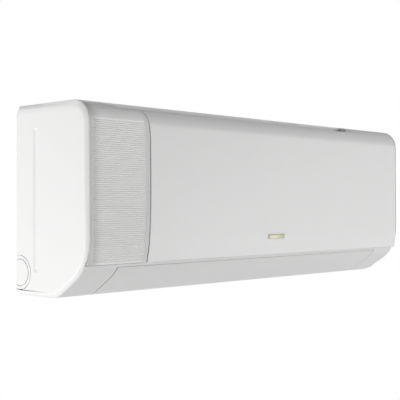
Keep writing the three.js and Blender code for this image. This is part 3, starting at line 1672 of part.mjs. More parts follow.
function serviceCover() {
  const inner = frameInset - seat;
  const zone = block(service.x, [brimDepth, unitDepth], service.height);
  return frontSheet(inner - serviceThickness, inner, service.x).intersect(zone);
}

function manualButton() {
  const height = top - buttonDrop;
  const front = unitDepth - frameInset - frontFall(height);
  const rear = front - skin - seat - buttonFlange;
  const head = barAlongDepth(buttonX, [rear, front + buttonTravel / 2], height, buttonRadius, roundSides);
  const flange = barAlongDepth(buttonX, [rear, rear + buttonFlange], height, buttonRadius + buttonFlange, roundSides);
  return head.add(flange);
}

function displayBoard() {
  const height = [top - displayDrop, top - displayDrop + displayHeight];
  const x = [displayX - displayWidth / 2, displayX + displayWidth / 2];
  const inner = frameInset - seat;
  const zone = block(x, [brimDepth, unitDepth], height);
  return frontSheet(inner - displayThickness, inner, x).intersect(zone);
}

// Assembly

function piece(name, solid, finish) {
  const mesh = new THREE.Mesh(toGeometry(solid), finish);
  mesh.name = name;
  return mesh;
}

// A piece whose solid was drawn in place, hung in a group at the given pivot.
function pieceAt(pivot, name, solid, finish) {
  const mesh = piece(name, solid, finish);
  mesh.geometry.translate(0, pivot.depth, -pivot.height);
  return mesh;
}

function groupAt(pivot, meshes) {
  const group = new THREE.Group();
  group.position.set(0, -pivot.depth, pivot.height);
  group.add(...meshes);
  return group;
}

function casingGroup() {
  const group = new THREE.Group();
  const rightCover = knockoutCover(-halfWidth).mirror([1, 0, 0]);
  group.add(
    piece('front_casing', frontCasing(), whitePlastic),
    piece('top_grille', topGrille(), whitePlastic),
    piece('pipe_cover_left', knockoutCover(-halfWidth), whitePlastic),
    piece('pipe_cover_right', rightCover, whitePlastic),
    piece('service_cover', serviceCover(), whitePlastic),
    piece('display_board', displayBoard(), darkPlastic),
    piece('manual_button', manualButton(), greyPlastic),
  );
  return group;
}

function chassisGroup() {
  const group = new THREE.Group();
  group.add(
    piece('wall_plate', wallPlate(), zincSteel),
    piece('rear_chassis', rearChassis(), greyPlastic),
    piece('drain_pan', drainPan(), greyPlastic),
    piece('drain_plug', drainPlug(), rubber),
    piece('fan_bearing', fanBearing(), rubber),
    piece('bearing_holder', bearingHolder(), greyPlastic),
    piece('fan_motor', fanMotor(), zincSteel),
    piece('motor_ring', motorRing(), rubber),
    piece('motor_bracket', motorBracket(), greyPlastic),
    piece('louver_motor', louverMotor(), greyPlastic),
    piece('control_box', controlBox(), greyPlastic),
    piece('control_board', controlBoard(), boardGreen),
    piece('control_cover', controlCover(), zincSteel),
    piece('terminal_block', terminalBlock(), darkPlastic),
  );
  return group;
}

function coilGroup() {
  const group = new THREE.Group();
  group.add(
    piece('coil_front_lower', coilFrontLower(), aluminium),
    piece('coil_front_upper', coilFrontUpper(), aluminium),
    piece('coil_rear', coilRear(), aluminium),
    piece('tube_sheet_left', tubeSheetLeft(), zincSteel),
    piece('tube_sheet_right', tubeSheetRight(), zincSteel),
    piece('suction_pipe', suctionPipe(), copper),
    piece('liquid_pipe', liquidPipe(), copper),
    piece('suction_nut', flareNut(suctionEndX, suctionStart, suctionRise), brass),
    piece('liquid_nut', flareNut(liquidEndX, liquidStart, liquidRise), brass),
  );
  return group;
}

function panelGroup() {
  return groupAt(hinge, [
    pieceAt(hinge, 'front_panel', frontPanel(), whitePlastic),
    pieceAt(hinge, 'ribbed_panel', ribbedPanel(), ribbedPlastic),
    pieceAt(hinge, 'badge_bar', badgeBar(), champagne),
  ]);
}

function fanGroup() {
  return groupAt(fan, [
    piece('cross_flow_fan', crossFlowFan(), fanPlastic),
    piece('fan_stub_shaft', stubShaft(), zincSteel),
    piece('motor_shaft', motorShaft(), zincSteel),
  ]);
}

function outletGroup() {
  const group = new THREE.Group();
  group.position.copy(ductOrigin);
  group.rotation.x = ductTurn;
  group.add(piece('vane_rail', vaneRail(), greyPlastic), piece('vane_motor', vaneMotor(), greyPlastic));
  const link = piece('vane_link', vaneLink(), greyPlastic);
  link.position.y = -linkCrank;
  group.add(link);
  vaneX.forEach((x, i) => {
    const blade = piece(`vane_${i + 1}`, vane(), whitePlastic);
    blade.position.x = x;
    group.add(blade);
  });
  return group;
}

function filterGroup() {
  const group = new THREE.Group();
  const web = railWeb / 2 + filterPlay;
  const lip = railLip - filterPlay;
  group.add(
    piece('filter_left', filter([windowLeft - lip, windowMiddle - web]), filterBlue),
    piece('filter_right', filter([windowMiddle + web, windowRight + lip]), filterBlue),
  );
  return group;
}

const unit = new THREE.Group();
unit.add(casingGroup(), chassisGroup(), coilGroup(), panelGroup(), fanGroup());
unit.add(groupAt(louverPivot, [pieceAt(louverPivot, 'louver', louver(), whitePlastic)]));
unit.add(outletGroup(), filterGroup());

export default unit;
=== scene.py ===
# %% [markdown]
# # A wall-hung indoor unit, dressed for its portrait
# The frame holds every solid of the unit, in metres: x along the wall, y away from the room,
# z up, and the wall is the plane y = 0. The looks are added round it: finishes for each
# material, and the few pieces whose skin needs finer curves than the solids have.

import math

import bpy
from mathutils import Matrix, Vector


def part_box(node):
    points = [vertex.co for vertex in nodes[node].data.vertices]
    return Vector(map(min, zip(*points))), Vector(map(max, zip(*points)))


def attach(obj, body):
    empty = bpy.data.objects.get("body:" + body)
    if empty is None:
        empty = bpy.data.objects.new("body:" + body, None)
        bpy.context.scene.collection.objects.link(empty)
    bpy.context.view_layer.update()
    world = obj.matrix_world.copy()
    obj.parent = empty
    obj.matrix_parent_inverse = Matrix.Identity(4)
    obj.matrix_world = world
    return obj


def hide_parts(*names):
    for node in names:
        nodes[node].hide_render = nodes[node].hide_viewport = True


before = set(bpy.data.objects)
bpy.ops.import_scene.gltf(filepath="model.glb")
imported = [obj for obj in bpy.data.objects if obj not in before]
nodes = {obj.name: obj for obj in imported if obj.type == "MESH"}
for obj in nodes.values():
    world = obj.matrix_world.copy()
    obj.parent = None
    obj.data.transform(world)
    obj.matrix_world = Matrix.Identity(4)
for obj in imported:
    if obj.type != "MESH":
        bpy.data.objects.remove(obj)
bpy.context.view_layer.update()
slot_of = {name: solid.data.materials[0].name for name, solid in nodes.items()}
for plain_finish in list(bpy.data.materials):
    bpy.data.materials.remove(plain_finish)

# %% [markdown]
# ## Camera
# A product portrait of a long unit is taken from its near end with a long lens, so that its
# edges run together only gently. The camera here stands level with the middle of the unit,
# turned 47 degrees from its front. A small shift puts the horizon where the portrait has it,
# which keeps the upright edges upright: tilting the camera would make them lean.

# %% Place the camera
MM = 0.001
SENSOR_WIDTH = 36.0
CAMERA_PLACE = (-1300.1 * MM, -1199.2 * MM, -7.1 * MM)
CAMERA_TURN = math.radians(-47.275)
CAMERA_LENS = 82.03
CAMERA_SHIFT = (-0.0030, 0.0120)

camera_data = bpy.data.cameras.new("portrait_camera")
camera_data.sensor_width = SENSOR_WIDTH
camera_data.lens = CAMERA_LENS
camera_data.shift_x, camera_data.shift_y = CAMERA_SHIFT
camera = bpy.data.objects.new("portrait_camera", camera_data)
bpy.context.scene.collection.objects.link(camera)
camera.location = CAMERA_PLACE
camera.rotation_euler = (math.radians(90), 0, CAMERA_TURN)
bpy.context.scene.camera = camera
print("camera at", CAMERA_PLACE, "lens", CAMERA_LENS)

# %% [markdown]
# ## Node helpers
# Every finish below is a small node tree. A few helpers keep the trees readable: they add a node
# with its settings, start a material with its Principled shader, read the Object coordinates,
# do one sum, blend two colours, and turn a height into relief. Two more make a node group with
# named sockets and place it, so that an effect such as moulded grain is built only once.

# %% Helpers for node trees


def new_node(tree, kind, place=(0, 0), **settings):
    node = tree.nodes.new(kind)
    node.location = place
    for key, value in settings.items():
        setattr(node, key, value)
    return node


def new_group(name, inputs, outputs):
    tree = bpy.data.node_groups.new(name, "ShaderNodeTree")
    for label, kind, value in inputs:
        socket = tree.interface.new_socket(label, in_out="INPUT", socket_type=kind)
        socket.default_value = value
    for label, kind in outputs:
        tree.interface.new_socket(label, in_out="OUTPUT", socket_type=kind)
    source = new_node(tree, "NodeGroupInput", (-900, 0))
    sink = new_node(tree, "NodeGroupOutput", (600, 0))
    return tree, source, sink


def use_group(tree, group, place=(-500, 0), **values):
    node = new_node(tree, "ShaderNodeGroup", place, node_tree=group)
    for label, value in values.items():
        node.inputs[label.replace("_", " ")].default_value = value
    return node


def new_material(name, roughness=0.5, metallic=0.0):
    material = bpy.data.materials.new(name)
    material.use_nodes = True
    tree = material.node_tree
    shader = tree.nodes["Principled BSDF"]
    shader.inputs["Roughness"].default_value = roughness
    shader.inputs["Metallic"].default_value = metallic
    return material, tree, shader


def math_node(tree, operation, a, b=None, place=(0, 0)):
    node = new_node(tree, "ShaderNodeMath", place, operation=operation)
    for index, value in enumerate((a, b)):
        if value is None:
            continue
        if isinstance(value, bpy.types.NodeSocket):
            tree.links.new(value, node.inputs[index])
        else:
            node.inputs[index].default_value = value
    return node.outputs[0]


def mix_colour(tree, share, first, second, place=(0, 0)):
    node = new_node(tree, "ShaderNodeMix", place, data_type="RGBA")
    for index, value in ((0, share), (6, first), (7, second)):
        if isinstance(value, bpy.types.NodeSocket):
            tree.links.new(value, node.inputs[index])
        else:
            node.inputs[index].default_value = value
    return node.outputs[2]


def object_place(tree):
    return new_node(tree, "ShaderNodeTexCoord", (-1000, 0)).outputs["Object"]


def add_relief(tree, shader, height, strength, depth):
    relief = new_node(tree, "ShaderNodeBump", (-250, -300))
    relief.inputs["Strength"].default_value = strength
    relief.inputs["Distance"].default_value = depth * MM
    tree.links.new(height, relief.inputs["Height"])
    tree.links.new(relief.outputs["Normal"], shader.inputs["Normal"])


# %% [markdown]
# ## Moulded plastic
# The housing is injection moulded. Its tool is lightly blasted, which leaves a very fine
# matt grain, and the skin is a little uneven over hands' breadths because the plastic
# shrinks as it cools. Both are small, so they are a noise of two sizes: the fine one goes to
# the bump and the roughness, and the broad one tints the colour by a hair. Joints and grooves
# are darkened with painted shade. The Ambient Occlusion node finds them: it looks a few
# millimetres round and says how closed in a point is, and the closed-in ones take a darker
# tone, which is the painted shade.

# %% Group for moulded grain and painted shade
NOOK_REACH, NOOK_SAMPLES = 4 * MM, 6
NOOK_CLOSED, NOOK_OPEN = 0.3, 0.9
# tone of the painted shade in joints and grooves
PAINTED_SHADE_TONE = (0.12, 0.115, 0.11, 1)
FINE_DETAIL, BROAD_DETAIL = 3, 2
NOISE_MIDDLE = 0.5

grain_and_shade_group, source, sink = new_group(
    "moulded_grain_and_painted_shade",
    [
        ("Colour", "NodeSocketColor", (0.8, 0.8, 0.8, 1)),
        ("Shade", "NodeSocketColor", (0.7, 0.7, 0.7, 1)),
        ("Roughness", "NodeSocketFloat", 0.4),
        ("Roughness Spread", "NodeSocketFloat", 0.08),
        ("Grain Scale", "NodeSocketFloat", 1500.0),
        ("Cloud Scale", "NodeSocketFloat", 6.0),
        ("Seam Shade", "NodeSocketFloat", 0.5),
    ],
    [
        ("Colour", "NodeSocketColor"),
        ("Roughness", "NodeSocketFloat"),
        ("Height", "NodeSocketFloat"),
    ],
)
grain_place = object_place(grain_and_shade_group)
fine = new_node(grain_and_shade_group, "ShaderNodeTexNoise", (-600, 100))
fine.inputs["Detail"].default_value = FINE_DETAIL
broad = new_node(grain_and_shade_group, "ShaderNodeTexNoise", (-600, -250))
broad.inputs["Detail"].default_value = BROAD_DETAIL
for texture, socket in ((fine, "Grain Scale"), (broad, "Cloud Scale")):
    grain_and_shade_group.links.new(grain_place, texture.inputs["Vector"])
    grain_and_shade_group.links.new(source.outputs[socket], texture.inputs["Scale"])
mottle_and_painted_shade = mix_colour(
    grain_and_shade_group, broad.outputs["Fac"], source.outputs["Shade"], source.outputs["Colour"]
)
# painted shade: closed-in points in joints and grooves are blended towards the dark tone
nook = new_node(grain_and_shade_group, "ShaderNodeAmbientOcclusion", (-600, -500), samples=NOOK_SAMPLES)
nook.inputs["Distance"].default_value = NOOK_REACH
openness = new_node(grain_and_shade_group, "ShaderNodeMapRange", (-400, -500))
openness.inputs["From Min"].default_value = NOOK_CLOSED
openness.inputs["From Max"].default_value = NOOK_OPEN
openness.inputs["To Min"].default_value = 1.0
openness.inputs["To Max"].default_value = 0.0
grain_and_shade_group.links.new(nook.outputs["AO"], openness.inputs["Value"])
painted_shade = math_node(
    grain_and_shade_group, "MULTIPLY", openness.outputs["Result"], source.outputs["Seam Shade"], (-200, -500)
)
mottle_and_painted_shade = mix_colour(grain_and_shade_group, painted_shade, mottle_and_painted_shade, PAINTED_SHADE_TONE, (0, -300))
swing = math_node(grain_and_shade_group, "SUBTRACT", fine.outputs["Fac"], NOISE_MIDDLE, (-300, 200))
swing = math_node(grain_and_shade_group, "MULTIPLY", swing, source.outputs["Roughness Spread"])
rough = math_node(grain_and_shade_group, "ADD", swing, source.outputs["Roughness"], (100, 200))
grain_and_shade_group.links.new(mottle_and_painted_shade, sink.inputs["Colour"])
grain_and_shade_group.links.new(rough, sink.inputs["Roughness"])
grain_and_shade_group.links.new(fine.outputs["Fac"], sink.inputs["Height"])
print("group:", grain_and_shade_group.name)

# %% Plastics from the grain and painted shade group
SKIN_RELIEF = 0.05


def plastic(name, colour, shade, roughness, spread, grain, bump, seam_shade=0.5):
    material, tree, shader = new_material(name)
    skin = use_group(
        tree,
        grain_and_shade_group,
        (-600, 0),
        Colour=(*colour, 1),
        Shade=(*shade, 1),
        Roughness=roughness,
        Roughness_Spread=spread,
        Grain_Scale=grain,
        Seam_Shade=seam_shade,
    )
    tree.links.new(skin.outputs["Colour"], shader.inputs["Base Color"])
    tree.links.new(skin.outputs["Roughness"], shader.inputs["Roughness"])
    add_relief(tree, shader, skin.outputs["Height"], bump, SKIN_RELIEF)
    return material


white = plastic(
    "white_plastic", (0.82, 0.82, 0.815), (0.79, 0.79, 0.785),
    roughness=0.42, spread=0.1, grain=1500, bump=0.35,
)
# painted light: lighter than the white plastic to make up for the shade between the ribs
ribbed = plastic(
    "ribbed_plastic", (0.92, 0.915, 0.91), (0.90, 0.895, 0.89),
    roughness=0.5, spread=0.1, grain=1500, bump=0.35, seam_shade=0.1,
)
grey = plastic(
    "grey_plastic", (0.55, 0.55, 0.545), (0.5, 0.5, 0.495),
    roughness=0.5, spread=0.14, grain=1100, bump=0.4,
)
dark = plastic(
    "dark_plastic", (0.035, 0.036, 0.04), (0.025, 0.026, 0.03),
    roughness=0.45, spread=0.14, grain=1100, bump=0.4,
)
fan_finish = plastic(
    "fan_plastic", (0.16, 0.17, 0.18), (0.13, 0.14, 0.15),
    roughness=0.48, spread=0.14, grain=900, bump=0.4,
)
rubber = plastic(
    "black_rubber", (0.018, 0.018, 0.02), (0.012, 0.012, 0.013),
    roughness=0.8, spread=0.12, grain=700, bump=0.7,
)
print("plastics:", [m.name for m in (white, ribbed, grey, dark, fan_finish, rubber)])

# %% [markdown]
# ## Painted shade on the strip's left edge
# The ribbed strip grows darker over its last 27 millimetres, towards the end cap. Its fall away
# from the light explains only part of that, so the rest is painted shade: the x of the
# Object coordinates blends the darker tone in without a visible edge.

# %% Paint shade on the left edge
SHADE_FULL, SHADE_NONE = -424.0, -402.0
EDGE_SHADE_TONE, NO_SHADE_TONE = (0.77, 0.77, 0.765, 1), (1, 1, 1, 1)


# painted shade: the skin colour is multiplied darker towards the strip's left edge
def paint_edge_shade(material):
    tree = material.node_tree
    shader = tree.nodes["Principled BSDF"]
    skin_colour = shader.inputs["Base Color"].links[0].from_socket
    across = new_node(tree, "ShaderNodeSeparateXYZ", (-1000, 300))
    tree.links.new(object_place(tree), across.inputs["Vector"])
    share = new_node(tree, "ShaderNodeMapRange", (-800, 300), interpolation_type="SMOOTHSTEP")
    share.inputs["From Min"].default_value = SHADE_FULL * MM
    share.inputs["From Max"].default_value = SHADE_NONE * MM
    tree.links.new(across.outputs["X"], share.inputs["Value"])
    shade_tone = mix_colour(tree, share.outputs["Result"], EDGE_SHADE_TONE, NO_SHADE_TONE, (-600, 300))
    shaded_colour = new_node(tree, "ShaderNodeMix", (-300, 300), data_type="RGBA", blend_type="MULTIPLY")
    shaded_colour.inputs[0].default_value = 1.0
    tree.links.new(skin_colour, shaded_colour.inputs[6])
    tree.links.new(shade_tone, shaded_colour.inputs[7])
    tree.links.new(shaded_colour.outputs[2], shader.inputs["Base Color"])


paint_edge_shade(ribbed)
print("tinted:", ribbed.name)

# %% [markdown]
# ## Metals
# The wall plate and the end plates are zinc-coated sheet: the zinc freezes in flat crystals,
# each with its own grey. Cells of a Voronoi texture give just that. Copper tube is drawn
# bright, and browns a little where air has reached it: a noise between two tones gives that.
# Brass and the plated bar are made the same way, from their own two tones.

# %% Zinc-coated sheet, copper, brass and plating
ZINC_DARK, ZINC_LIGHT = (0.50, 0.51, 0.53, 1), (0.66, 0.67, 0.69, 1)
ZINC_CRYSTALS, ZINC_ROUGHNESS, ZINC_SPREAD = 160, 0.28, 0.18
WEAR_DETAIL, WEAR_SPREAD, WEAR_POLISH, WEAR_BUMP = 5, 0.3, 0.12, 0.2


def zinc(name):
    material, tree, shader = new_material(name, metallic=1.0)
    cells = new_node(tree, "ShaderNodeTexVoronoi", (-800, 0), distance="EUCLIDEAN")
    cells.inputs["Scale"].default_value = ZINC_CRYSTALS
    tree.links.new(object_place(tree), cells.inputs["Vector"])
    tone = new_node(tree, "ShaderNodeSeparateColor", (-600, 0))
    tree.links.new(cells.outputs["Color"], tone.inputs["Color"])
    colour = mix_colour(tree, tone.outputs["Red"], ZINC_DARK, ZINC_LIGHT)
    tree.links.new(colour, shader.inputs["Base Color"])
    swing = math_node(tree, "MULTIPLY", tone.outputs["Green"], ZINC_SPREAD, (-400, -200))
    rough = math_node(tree, "ADD", swing, ZINC_ROUGHNESS, (-200, -200))
    tree.links.new(rough, shader.inputs["Roughness"])
    return material


def worn_metal(name, bright, dull, roughness, scale):
    material, tree, shader = new_material(name, metallic=1.0)
    noise = new_node(tree, "ShaderNodeTexNoise", (-800, 0))
    noise.inputs["Scale"].default_value = scale
    noise.inputs["Detail"].default_value = WEAR_DETAIL
    tree.links.new(object_place(tree), noise.inputs["Vector"])
    colour = mix_colour(tree, noise.outputs["Fac"], (*bright, 1), (*dull, 1))
    tree.links.new(colour, shader.inputs["Base Color"])
    swing = math_node(tree, "MULTIPLY", noise.outputs["Fac"], WEAR_SPREAD, (-400, -200))
    rough = math_node(tree, "ADD", swing, roughness - WEAR_POLISH, (-200, -200))
    tree.links.new(rough, shader.inputs["Roughness"])
    add_relief(tree, shader, noise.outputs["Fac"], WEAR_BUMP, SKIN_RELIEF)
    return material


steel = zinc("zinc_steel")
copper = worn_metal(
    "pipe_copper", (0.82, 0.42, 0.24), (0.55, 0.25, 0.13), roughness=0.3, scale=60
)
brass = worn_metal(
    "nut_brass", (0.75, 0.57, 0.25), (0.55, 0.40, 0.16), roughness=0.3, scale=120
)
champagne = worn_metal(
    "champagne_bar", (0.24, 0.226, 0.172), (0.195, 0.183, 0.137), roughness=0.42, scale=900
)
print("metals:", [m.name for m in (steel, copper, brass, champagne)])

# %% [markdown]
# ## Fins and net
# The coil is hundreds of aluminium leaves on edge, about 1.3 mm apart, far too many to model.
# Across the leaves only their edges show: bright line, dark gap, and the dark of the gaps is
# painted shade. A wave texture along x draws them in the colour and in the bump of the coarse
# comb that the frame carries. The filter's net is drawn the same way, by waves along x and z
# that cross.

# %% Aluminium fins and the filter's net
FIN_WAVES, FIN_EDGES = 240, (0.25, 0.6)
# the dark tone of the gaps between the leaves is painted shade
FIN_GAP_SHADE, FIN_EDGE_TONE = (0.12, 0.13, 0.14, 1), (0.72, 0.74, 0.76, 1)
FIN_BUMP, FIN_RELIEF = 0.6, 0.3
NET_WAVES, NET_EDGES = 330, (0.55, 0.8)
NET_GAP_TONE, NET_THREAD_TONE = (0.10, 0.13, 0.15, 1), (0.36, 0.43, 0.47, 1)
NET_BUMP, NET_RELIEF = 0.5, 0.2


def stripes(tree, scale, direction, edges):
    wave = new_node(
        tree, "ShaderNodeTexWave", (-800, 0), bands_direction=direction, wave_profile="SIN"
    )
    wave.inputs["Scale"].default_value = scale
    tree.links.new(object_place(tree), wave.inputs["Vector"])
    ramp = new_node(tree, "ShaderNodeMapRange", (-600, 0), interpolation_type="SMOOTHSTEP")
    ramp.inputs["From Min"].default_value, ramp.inputs["From Max"].default_value = edges
    tree.links.new(wave.outputs["Fac"], ramp.inputs["Value"])
    return ramp.outputs["Result"]


def finned(name):
    material, tree, shader = new_material(name, roughness=0.38, metallic=1.0)
    leaf = stripes(tree, FIN_WAVES, "X", FIN_EDGES)
    colour = mix_colour(tree, leaf, FIN_GAP_SHADE, FIN_EDGE_TONE)
    tree.links.new(colour, shader.inputs["Base Color"])
    add_relief(tree, shader, leaf, FIN_BUMP, FIN_RELIEF)
    return material


def netting(name):
    material, tree, shader = new_material(name, roughness=0.6)
    upright = stripes(tree, NET_WAVES, "X", NET_EDGES)
    level = stripes(tree, NET_WAVES, "Z", NET_EDGES)
    thread = math_node(tree, "MAXIMUM", upright, level, (-300, 0))
    colour = mix_colour(tree, thread, NET_GAP_TONE, NET_THREAD_TONE)
    tree.links.new(colour, shader.inputs["Base Color"])
    add_relief(tree, shader, thread, NET_BUMP, NET_RELIEF)
    return material


fins = finned("coil_aluminium")
net = netting("filter_mesh")
print("fins and net:", fins.name, net.name)

# %% [markdown]
# ## Circuit board
# A board is green lacquer over copper tracks, which show as paler lines. The boards sit inside
# the unit, so a brick pattern is enough: its joints stand for the tracks. The Mapping node turns
# the pattern upright, since bricks are laid in the plane of x and y.

# %% Circuit board
TRACK_SCALE, TRACK_WIDTH = 60, 0.03
LACQUER, LACQUER_DARK = (0.03, 0.14, 0.06, 1), (0.025, 0.11, 0.05, 1)
TRACK_TONE = (0.10, 0.26, 0.10, 1)


def board(name):
    material, tree, shader = new_material(name, roughness=0.45)
    tracks = new_node(tree, "ShaderNodeTexBrick", (-800, 0))
    tracks.inputs["Scale"].default_value = TRACK_SCALE
    tracks.inputs["Color1"].default_value = LACQUER
    tracks.inputs["Color2"].default_value = LACQUER_DARK
    tracks.inputs["Mortar"].default_value = TRACK_TONE
    tracks.inputs["Mortar Size"].default_value = TRACK_WIDTH
    turn = new_node(tree, "ShaderNodeMapping", (-900, 0))
    turn.inputs["Rotation"].default_value = (math.radians(90), 0, 0)
    tree.links.new(object_place(tree), turn.inputs["Vector"])
    tree.links.new(turn.outputs["Vector"], tracks.inputs["Vector"])
    tree.links.new(tracks.outputs["Color"], shader.inputs["Base Color"])
    return material


green = board("circuit_board")
print("board:", green.name)

# %% [markdown]
# ## Finishes on the solids
# Each solid takes the finish of its slot in the record, so the list of materials there is
# followed piece by piece.

# %% Give each solid its finish
finishes = {
    m.name: m
    for m in (
        white, ribbed, grey, dark, fan_finish, rubber, steel, copper, brass, champagne,
        fins, net, green,
    )
}
for name, solid in nodes.items():
    solid.data.materials.clear()
    solid.data.materials.append(finishes[slot_of[name]])
print("finishes given to", len(nodes), "solids")

# %% [markdown]
# ## The front's line
# The panel and its ribbed insert share one side view: a face that leans back a little, a toe
# that draws in at the foot, and a round brow on top. The seam between the two is straight in
# the middle and bows to the left towards both ends. Three small functions say where they run,
# in millimetres, so that the pieces below can be cut and rounded right along them.

# %% Sizes of the front's line and of the seam
TOP, DEPTH = 150.0, 174.0
PANEL_FOOT = -97.5
TOE_SETBACK, BELLY = 3.0, -68.0
BROW_SETBACK, BROW_RADIUS = 1.6, 34.0
BROW_FOOT = TOP - BROW_RADIUS
LEAN = BROW_SETBACK / (TOP - BELLY)
BROW_CENTRE = DEPTH - LEAN * (BROW_FOOT - BELLY) - BROW_RADIUS
HINGE_DEPTH = 141.3
INSERT_RIGHT, SEAM_WIDTH = -306.5, 2.0
SEAM_LOW, SEAM_LOW_RADIUS = 15.0, 1000.0
SEAM_HIGH, SEAM_HIGH_RADIUS = 90.0, 170.0


def seam_bow(height):
    below = max(SEAM_LOW - height, 0.0)
    above = max(height - SEAM_HIGH, 0.0)
    return (
        SEAM_LOW_RADIUS - math.sqrt(SEAM_LOW_RADIUS**2 - below**2)
        + SEAM_HIGH_RADIUS - math.sqrt(SEAM_HIGH_RADIUS**2 - above**2)
    )


def front_line(step):
    """Depth, height and outward direction, step millimetres up the front from its foot."""
    if step <= BROW_FOOT - PANEL_FOOT:
        height = PANEL_FOOT + step
        toe = TOE_SETBACK * max(BELLY - height, 0.0) / (BELLY - PANEL_FOOT)
        slope = TOE_SETBACK / (BELLY - PANEL_FOOT) if height < BELLY else -LEAN
        return DEPTH - toe - LEAN * max(height - BELLY, 0.0), height, 1.0, -slope
    turn = (step - (BROW_FOOT - PANEL_FOOT)) / BROW_RADIUS
    out_depth, out_height = math.cos(turn), math.sin(turn)
    return (
        BROW_CENTRE + BROW_RADIUS * out_depth, BROW_FOOT + BROW_RADIUS * out_height,
        out_depth, out_height,
    )


def front_depth(height):
    if height <= BROW_FOOT:
        return front_line(height - PANEL_FOOT)[0]
    rise = min(height - BROW_FOOT, BROW_RADIUS)
    return BROW_CENTRE + math.sqrt(BROW_RADIUS**2 - rise**2)


print("seam bow at the foot and the top:", seam_bow(PANEL_FOOT), seam_bow(TOP))

# %% [markdown]
# ## Softened copies
# A moulded edge is never sharp: the tool leaves a radius of a few tenths of a millimetre or
# more, and that thin round edge is what catches the light. The solids have dead sharp edges.
# One way is to model each moulding again, but the solid already has the true shape, so a copy
# is quicker and stays exact. The copy's loose triangles are merged, flat ones are dissolved into
# whole faces, and a narrow bevel rounds every sharp edge. Smooth shading by angle alone would
# bend the light on a flat face beside a bevel, so weighted normals let the large faces lead.
# The two knock-out covers need no more than that, and the cells after them change other copies.

# %% Helpers that copy a solid, round it and finish it
CURVE_ANGLE = math.radians(30)
FLAT_ANGLE = math.radians(0.4)
MERGE_REACH, FLAW_REACH = 0.002, 0.01
FACE_WEIGHT, EDGE_STEPS = 80, 2


def choose(piece):
    bpy.ops.object.select_all(action="DESELECT")
    piece.select_set(True)
    bpy.context.view_layer.objects.active = piece


def select_points(piece, wanted):
    choose(piece)
    bpy.ops.object.mode_set(mode="EDIT")
    bpy.ops.mesh.select_mode(type="VERT")
    bpy.ops.mesh.select_all(action="DESELECT")
    bpy.ops.object.mode_set(mode="OBJECT")
    picked = [v for v in piece.data.vertices if wanted(v.co)]
    for vertex in picked:
        vertex.select = True
    bpy.ops.object.mode_set(mode="EDIT")
    bpy.ops.mesh.select_mode(type="EDGE")
    bpy.ops.object.mode_set(mode="OBJECT")
    return len(picked)


def slide_points(piece, wanted, across):
    picked = select_points(piece, wanted)
    bpy.ops.object.mode_set(mode="EDIT")
    bpy.ops.transform.translate(value=(across * MM, 0, 0))
    bpy.ops.object.mode_set(mode="OBJECT")
    return picked


def apply_modifier(piece, name, kind, **settings):
    choose(piece)
    modifier = piece.modifiers.new(name, kind)
    for key, value in settings.items():
        setattr(modifier, key, value)
    bpy.ops.object.modifier_apply(modifier=name)


def finish_piece(piece, body, slot, replaced):
    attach(piece, body)
    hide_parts(replaced)
    piece.data.materials.clear()
    piece.data.materials.append(finishes[slot])
    print(piece.name, "faces:", len(piece.data.polygons))


def merged_copy(name, node):
    piece = bpy.data.objects.new(name, nodes[node].data.copy())
    bpy.context.scene.collection.objects.link(piece)
    choose(piece)
    bpy.ops.mesh.customdata_custom_splitnormals_clear()
    bpy.ops.object.mode_set(mode="EDIT")
    bpy.ops.mesh.select_all(action="SELECT")
    bpy.ops.mesh.remove_doubles(threshold=MERGE_REACH * MM)
    bpy.ops.mesh.dissolve_degenerate(threshold=FLAW_REACH * MM)
    bpy.ops.mesh.dissolve_limited(angle_limit=FLAT_ANGLE)
    bpy.ops.object.mode_set(mode="OBJECT")
    return piece


def smooth_faces(piece):
    choose(piece)
    bpy.ops.object.shade_smooth_by_angle(angle=CURVE_ANGLE)
    apply_modifier(piece, "flat faces", "WEIGHTED_NORMAL", keep_sharp=True, weight=FACE_WEIGHT)


def round_edges(piece, width):
    apply_modifier(
        piece, "moulded edge", "BEVEL",
        width=width * MM, segments=EDGE_STEPS, limit_method="ANGLE", angle_limit=CURVE_ANGLE,
        use_clamp_overlap=False,
    )
    smooth_faces(piece)


# %% Soften the knock-out covers
KNOCKOUT_EDGE = 0.3
for side in ("left", "right"):
    knockout = merged_copy(f"{side}_knockout", f"pipe_cover_{side}")
    round_edges(knockout, KNOCKOUT_EDGE)
    finish_piece(knockout, "unit_body", slot_of[f"pipe_cover_{side}"], f"pipe_cover_{side}")

# %% [markdown]
# ## Casing
# The shallow upright groove near the wall, where the side can be broken out for pipes, has
# to read from across a room. Its floor is found by its place, just under the side's own face,
# and pressed in a little further, which makes its flanks steeper. The edges of the groove are
# then marked sharp, or the smooth shading would wash its flanks out.

# %% Casing with its side grooves
SIDE, GROOVE_SINK, GROOVE_PRESS = 435.0, 0.8, 0.9
GROOVE_DEPTH, GROOVE_HALF, GROOVE_REACH = 50.0, 5.6, 112.5
FLOOR_REACH, GROOVE_SLACK = 0.05, 0.1
CASING_EDGE = 0.5


def in_groove(co, direction):
    beside = abs(-co.y / MM - GROOVE_DEPTH) < GROOVE_HALF and abs(co.z / MM) < GROOVE_REACH
    return beside and direction * co.x / MM > SIDE - GROOVE_SINK - GROOVE_PRESS - GROOVE_SLACK


casing = merged_copy("casing_moulding", "front_casing")
for direction in (-1, 1):
    floor_at = direction * (SIDE - GROOVE_SINK)
    pressed = slide_points(
        casing, lambda co: abs(co.x / MM - floor_at) < FLOOR_REACH, -direction * GROOVE_PRESS
    )
    picked = select_points(casing, lambda co: in_groove(co, direction))
    bpy.ops.object.mode_set(mode="EDIT")
    bpy.ops.mesh.mark_sharp()
    bpy.ops.object.mode_set(mode="OBJECT")
    print("groove points pressed:", pressed, "kept sharp:", picked)
round_edges(casing, CASING_EDGE)
finish_piece(casing, "unit_body", "white_plastic", "front_casing")

